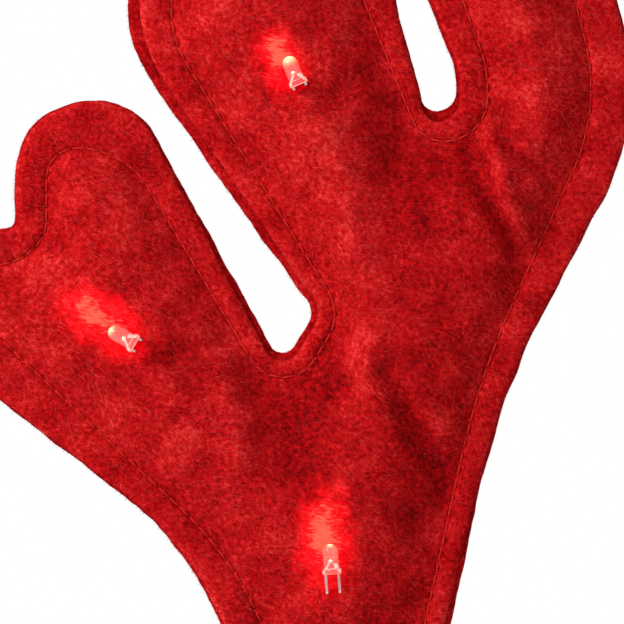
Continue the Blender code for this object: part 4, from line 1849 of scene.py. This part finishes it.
@dataclass
class Lamp:
    """A clear lamp on the front felt, with its cup, post, chip and leads."""

    place: LampPlace
    hand: Hand
    pattern: AntlerPattern
    finishes: Finishes | None = None
    diameter: float = 3.0
    rim_diameter: float = 3.8
    rim_thickness: float = 1.0
    length: float = 5.9
    lead: float = 0.48
    lead_pitch: float = 2.54
    lead_bend: float = 0.36
    lead_depth: float = 2.3
    sides: int = 40

    def __post_init__(self) -> None:
        """Works out where the lamp lies, from the pattern and the frame's own lamp."""
        lean = math.radians(self.place.lean)
        self.heading = np.array((-math.sin(lean), math.cos(lean)))
        self.base = self.pattern.spot(self.place.across, self.place.up)
        low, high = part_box(f"left_{self.place.name}_lamp")
        self.depth = (low.y + high.y) / 2 / MM

    @property
    def tip(self) -> np.ndarray:
        """The lamp's tip on the flat pattern."""
        return self.base + self.heading * self.length

    @property
    def entry(self) -> np.ndarray:
        """Where the leads go into the felt, on the flat pattern."""
        return self.base - self.heading * (self.length * self.place.bare + self.lead_bend)

    def in_frame(self, points: np.ndarray) -> np.ndarray:
        """Points about the lamp's base, in the frame's axes.

        Args:
            points: Beside the axis, into the felt and along the axis.

        Returns:
            The points in the frame, in millimetres.
        """
        x, z = self.base + self.pattern.foot
        base = np.array((x, self.depth, z + self.pattern.leg_height))
        beside = np.array((self.heading[1], 0.0, -self.heading[0]))
        along = np.array((self.heading[0], 0.0, self.heading[1]))
        return base + points[:, :1] * beside + points[:, 1:2] * (0, 1, 0) + points[:, 2:] * along

    def piece(
        self, label: str, shape: tuple[np.ndarray, list], finish: Any, smooth: bool = True
    ) -> bpy.types.Object:
        """Makes one of the lamp's pieces.

        Args:
            label: The end of its name.
            shape: Its points about the lamp's base, and its faces.
            finish: Its material.
            smooth: Whether it is shaded smooth.

        Returns:
            The object.
        """
        name = f"{self.hand.label}_{self.place.name}_{label}"
        points, faces = shape
        return Piece(name, self.in_frame(points), faces, finish, self.hand, smooth).make()

    def lens(self) -> bpy.types.Object:
        """The clear body: a rim with soft edges, a shoulder and a dome.

        Returns:
            The object.
        """
        radius, rim, thick = self.diameter / 2, self.rim_diameter / 2, self.rim_thickness
        shoulder = self.length - radius
        soft = 0.12
        dome = [
            (shoulder + radius * math.sin(turn), radius * math.cos(turn))
            for turn in np.radians(np.arange(8, 89, 8.0))
        ]
        stations = [(0, rim - 1.2), (0, rim - soft), (0.3 * soft, rim - 0.3 * soft), (soft, rim)]
        stations += [(thick - soft, rim), (thick - 0.3 * soft, rim - 0.3 * soft)]
        stations += [(thick, rim - soft), (thick, radius + soft), (thick + soft, radius)]
        stations += [(thick + 1.2, radius), (shoulder, radius), *dome]
        made = self.piece("lens", lathe(stations, self.sides), self.finishes.resin)
        made.data.materials.append(self.finishes.edge)
        for polygon in made.data.polygons:
            if polygon.index == 0 or 2 <= polygon.index < 2 + 2 * self.sides:
                polygon.material_index = 1
        made.data.set_sharp_from_angle(angle=math.radians(35))
        return settle(made, "clear_lamp", f"{self.hand.label}_{self.place.name}_lamp")

    def block(self, stations: Sequence[tuple[float, float, float]], thick: float) -> tuple:
        """A flat stamped shape standing along the axis.

        Args:
            stations: Height, middle and width of each of its sections.
            thick: Its thickness.

        Returns:
            Its points and faces.
        """
        half = thick / 2
        sections = [
            np.array([
                (middle - width / 2, -half, height),
                (middle + width / 2, -half, height),
                (middle + width / 2, half, height),
                (middle - width / 2, half, height),
            ])
            for height, middle, width in stations
        ]
        return swept(sections)

    def metalwork(self) -> None:
        """The stamped cup holder and post inside the body, the cup and its lit chip."""
        pitch = self.lead_pitch / 2
        holder = [(0.3, -pitch, 0.45), (0.7, -1.0, 0.3), (1.9, -0.36, 0.26), (2.3, -0.12, 0.5)]
        post = [(0.3, pitch, 0.5), (0.7, 1.0, 0.5), (1.6, 0.66, 0.62), (2.1, 0.5, 0.42)]
        for label, stations in (("cup_holder", holder), ("post", post)):
            made = self.piece(label, self.block(stations, self.lead), self.finishes.holder, False)
            settle(made, "tinned_wire")
        cup = [(2.25, 0.24), (2.35, 0.28), (2.65, 0.40), (2.65, 0.34), (2.48, 0.2), (2.46, 0.05)]
        points, faces = lathe(cup, 20)
        made = self.piece("cup", (points + (-0.1, 0, 0), faces), self.finishes.holder)
        settle(made, "tinned_wire")
        chip = self.block([(2.48, -0.1, 0.3), (2.8, -0.1, 0.24)], 0.3)
        settle(self.piece("chip", chip, self.finishes.chip, False), "clear_lamp")

    def leads(self) -> None:
        """The two square wires: back along the felt, then round a bend and down into it."""
        half = self.lead / 2
        back = self.length * self.place.bare
        for end, way in (("a", -1), ("b", 1)):
            route = [(0.0, 0.35, 0.0), (0.0, -back, 0.0)]
            for turn in np.radians((15.0, 30, 45, 60, 75, 90)):
                ahead = -back - self.lead_bend * math.sin(turn)
                route.append((self.lead_bend * (1 - math.cos(turn)), ahead, turn))
            route.append((self.lead_bend + self.lead_depth, -back - self.lead_bend, math.pi / 2))
            middle = way * self.lead_pitch / 2
            sections = []
            for inward, ahead, turn in route:
                out = half * np.array((math.cos(turn), math.sin(turn)))
                sections.append(np.array([
                    (middle + side * half, inward + level * out[0], ahead + level * out[1])
                    for side, level in ((-1, 1), (1, 1), (1, -1), (-1, -1))
                ]))
            made = self.piece(f"wire_{end}", swept(sections), self.finishes.metal, False)
            name = f"{self.hand.label}_{self.place.name}_lead_{end}"
            settle(made, "tinned_wire", name)

    def build(self) -> None:
        """Builds the lamp."""
        self.lens()
        self.metalwork()
        self.leads()


@dataclass
class HeadBand:
    """The felt covered head band and the two cuffs that hold the antlers on it."""

    finishes: Finishes
    nap: NodeMaker
    pattern: AntlerPattern
    wall: float = 3.5
    depth: float = 24.0
    edge: float = 1.2
    leg_bend: float = 200.0
    leg_steps: int = 60
    crown_steps: int = 200
    cuff_length: float = 46.0
    cuff_steps: int = 48

    @staticmethod
    def section(low: float, high: float, half_depth: float, edge: float) -> np.ndarray:
        """A flat section with round edges, as radius and depth.

        Args:
            low: The inner radius.
            high: The outer radius.
            half_depth: Half its depth.
            edge: The edges' radius.

        Returns:
            The section's corners.
        """
        corners = []
        centres = ((high, -1, 1), (high, 1, 1), (low, 1, -1), (low, -1, -1))
        for index, (radius, side, out) in enumerate(centres):
            for turn in np.radians((0.0, 22.5, 45, 67.5, 90)):
                first, second = math.cos(turn), math.sin(turn)
                if index % 2:
                    first, second = second, first
                level = side * (half_depth - edge * (1 - first))
                corners.append((radius - out * edge * (1 - second), level))
            if index % 2 == 0:
                inner = half_depth - edge
                levels = np.linspace(side * inner, -side * inner, 26)[1:-1]
                corners.extend((radius, level) for level in levels)
        return np.array(corners)

    def around(self, section: np.ndarray, start: float, end: float, steps: int) -> list[np.ndarray]:
        """Sections round the crown.

        Args:
            section: The section to carry along.
            start: The first one's turn to the left from the top.
            end: The last one's.
            steps: How many there are.

        Returns:
            The sections in the frame's axes.
        """
        radius, y = section.T
        rings = []
        for turn in np.linspace(start, end, steps):
            x, z = -radius * math.sin(turn), radius * math.cos(turn) + self.pattern.leg_height
            rings.append(np.stack((x, y, z), axis=1))
        return rings

    @staticmethod
    def lumped(rings: list[np.ndarray], seed: int) -> list[np.ndarray]:
        """Sections with the felt's small lumps.

        Args:
            rings: The sections.
            seed: Sets the lumps.

        Returns:
            The sections, each corner moved a little towards or from its own middle.
        """
        result = []
        for ring in rings:
            way = ring - ring.mean(axis=0)
            flat = ring[:, (0, 2)] + ring[:, 1:2] * (0.7, 1.3)
            lump = 0.05 * waves(flat, 5.0, seed) + 0.03 * waves(flat, 2.2, seed + 1)
            level = np.linalg.norm(way, axis=1)[:, None]
            sunk = 0.12 - lump.clip(-0.1, 0.1)
            result.append(ring - way / level * sunk[:, None])
        return result

    def band(self) -> None:
        """The band with its nap, from the left tip over the crown to the right tip."""
        low, tall = self.pattern.crown_radius - self.wall, self.pattern.leg_height
        section = self.section(low, self.pattern.crown_radius, self.depth / 2, self.edge)
        radius, y = section.T
        leg = []
        for height in np.linspace(0, tall, self.leg_steps, endpoint=False):
            bend = self.leg_bend + radius - low
            inward = bend - np.sqrt(bend**2 - (tall - height) ** 2)
            leg.append(np.stack((inward - radius, y, np.full_like(y, height)), axis=1))
        crown = self.around(section, math.pi / 2, -math.pi / 2, self.crown_steps)
        other_leg = [ring * (-1, 1, 1) for ring in leg[::-1]]
        points, faces = swept(self.lumped(leg + crown + other_leg, 21))
        points[:, 2] = points[:, 2].clip(0, None)
        shape = (points, faces, self.finishes.band)
        settle(Piece("band_cover", *shape).make(), "red_felt", "head_band")
        fibre = self.finishes.plain_nap
        values = {"Density": 1.2e6, "Length": 0.9 * MM, "Seed": 9, "Material": fibre}
        nap = self.nap.grow(Piece("carrier", *shape).make(), "band_nap", values)
        self.keep_above_floor(nap)
        settle(nap, "red_felt")

    @staticmethod
    def keep_above_floor(piece: bpy.types.Object) -> None:
        """Lays fibres that would reach below the tips flat on the floor.

        Args:
            piece: The nap.
        """
        places = np.empty(len(piece.data.vertices) * 3, np.float32)
        piece.data.vertices.foreach_get("co", places)
        places[2::3] = places[2::3].clip(0, None)
        piece.data.vertices.foreach_set("co", places)
        piece.data.update()

    def cuff(self, hand: Hand) -> None:
        """One cuff with its nap.

        Args:
            hand: The antler that it holds.
        """
        pattern = self.pattern
        low = pattern.crown_radius - self.wall - pattern.clearance
        high = pattern.crown_radius + pattern.clearance
        half = self.depth / 2 + pattern.clearance
        wall = pattern.cuff_wall
        reach = self.cuff_length / 2 / pattern.crown_radius
        middle = math.radians(pattern.cuff_angle)
        way = (middle - reach, middle + reach, self.cuff_steps)
        inner = self.around(self.section(low, high, half, self.edge), *way)
        grown = self.section(low - wall, high + wall, half + wall, self.edge + wall / 2)
        outer = self.lumped(self.around(grown, *way), 33)
        points = np.vstack(outer + self.lumped(inner, 31))
        count = len(grown)
        shift = count * len(outer)
        last = shift - count
        outside, lining, ends = [], [], []
        for i in range(count):
            j = (i + 1) % count
            for start in range(0, last, count):
                quad = (start + i, start + j, start + count + j, start + count + i)
                outside.append(quad[::-1])
                lining.append(tuple(shift + k for k in quad))
            ends.append((i, shift + i, shift + j, j)[::-1])
            ends.append((last + i, shift + last + i, shift + last + j, last + j))
        name = f"{hand.label}_cuff"
        finish = self.finishes.band
        made = Piece(f"{name}_wrap", points, outside + lining + ends, finish, hand).make()
        settle(made, "red_felt", name)
        carrier = Piece("carrier", points, outside + ends, finish, hand).make()
        values = {"Density": 1.6e6, "Length": 1.1 * MM, "Seed": 12 + hand.value}
        values["Material"] = self.finishes.plain_nap
        settle(self.nap.grow(carrier, f"{name}_nap", values), "red_felt")

    def build(self) -> None:
        """Builds the band and both cuffs."""
        self.band()
        for hand in Hand:
            self.cuff(hand)


@dataclass
class Studio:
    """The floor, the lights and the camera, which looks at a spot beside and above a point."""

    point: Vector
    beside: float = -0.01627
    above: float = 0.1004
    frame_width: float = 0.12235
    lens: float = 500.0
    sensor: float = 36.0
    floor_radius: float = 1.0
    fill: float = 0.36
    key: float = 7.0
    side: float = 0.75

    def __post_init__(self) -> None:
        """Works out the spot that the camera looks at."""
        self.target = self.point + Vector((self.beside, 0.0, self.above))

    def floor(self) -> None:
        """A plain pale disc that the tips stand on."""
        radius = self.floor_radius / MM
        points, faces = lathe([(-3.0, radius), (0.0, radius)], 96)
        finish = PlainFinish("pale_floor", (0.88, 0.88, 0.88), (0.86, 0.86, 0.86), 0.8, grain=0.02)
        made = Piece("floor", points, faces, finish.material(), smooth=False).make()

    def world(self) -> None:
        """White behind the object, and a softer white that fills the shadows."""
        world = bpy.data.worlds.new("studio")
        world.use_nodes = True
        bpy.context.scene.world = world
        world.node_tree.nodes.clear()
        graph = Graph(world.node_tree)
        seen = graph.out("ShaderNodeLightPath", output="Is Camera Ray")
        white = (1.0, 1.0, 1.0, 1.0)
        dim, bright = (
            graph.out("ShaderNodeBackground", None, {"Color": white, "Strength": strength})
            for strength in (self.fill, 1.0)
        )
        mixed = graph.out("ShaderNodeMixShader", None, {0: seen, 1: dim, 2: bright})
        graph.node("ShaderNodeOutputWorld", None, {0: mixed})

    def lamp(self, name: str, place: Sequence[float], size: float, watts: float) -> None:
        """A soft square light that faces the antler.

        Args:
            name: Its name.
            place: Where it is, from the camera's target, in metres.
            size: The length of its side.
            watts: Its power.
        """
        light = bpy.data.lights.new(name, "AREA")
        light.size = size
        light.energy = watts
        made = added(name, light)
        made.location = self.target + Vector(place)
        made.rotation_euler = (-Vector(place)).to_track_quat("-Z", "Y").to_euler()

    def camera(self) -> None:
        """The camera straight in front, at the photograph's framing."""
        data = bpy.data.cameras.new("camera")
        data.lens = self.lens
        data.sensor_width = self.sensor
        made = added("camera", data)
        away = self.frame_width / 2 * self.lens / (self.sensor / 2)
        made.location = self.target - Vector((0.0, away, 0.0))
        made.rotation_euler = (math.pi / 2, 0.0, 0.0)
        bpy.context.scene.camera = made

    def build(self) -> None:
        """Sets up the studio."""
        bpy.context.scene.view_settings.view_transform = "Standard"
        self.floor()
        self.world()
        self.lamp("key", (-0.57, -0.50, 0.39), 0.36, self.key)
        self.lamp("side", (0.7, -0.6, 0.2), 0.5, self.side)
        self.camera()


def clear_scene() -> None:
    """Removes what Blender starts with."""
    for old in list(bpy.data.objects):
        bpy.data.objects.remove(old, do_unlink=True)


def main() -> None:
    """Builds the headband round its frame."""
    logging.basicConfig(level=logging.INFO, format="%(message)s")
    clear_scene()
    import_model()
    low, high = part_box("head_band")
    crown_radius = (high.x - low.x) / 2 / MM
    leg_height = high.z / MM - crown_radius
    pattern = AntlerPattern(crown_radius, leg_height)
    relief = FeltRelief(pattern)
    lamps = [Lamp(place, Hand.LEFT, pattern) for place in LAMPS]
    for lamp in lamps:
        beside = np.array((lamp.heading[1], -lamp.heading[0])) * (lamp.lead_pitch / 2)
        relief.slits.append((lamp.entry - beside, lamp.entry + beside))
        pattern.fine_lines.append((lamp.entry - beside, lamp.entry + beside))
        relief.seats.append((lamp.base, lamp.tip))
    tips = [lamp.in_frame(np.array([[0.0, -0.5, lamp.length - 0.5]]))[0] for lamp in lamps]
    spots = tuple(
        GlowSpot(tip[0], tip[2], tuple(lamp.heading), lamp.place)
        for tip, lamp in zip(tips, lamps)
    )
    finishes = Finishes(spots, tuple((-tip[0], tip[1], tip[2]) for tip in tips))
    nap = nap_maker()
    stitches = stitch_maker()
    HeadBand(finishes, nap, pattern).build()
    for hand in Hand:
        Antler(hand, pattern, relief, finishes, nap, stitches).build()
        for place in LAMPS:
            Lamp(place, hand, pattern, finishes).build()
    across, up = pattern.foot * MM
    Studio(Vector((across, -0.002, up + leg_height * MM))).build()


if __name__ == "__main__":
    main()
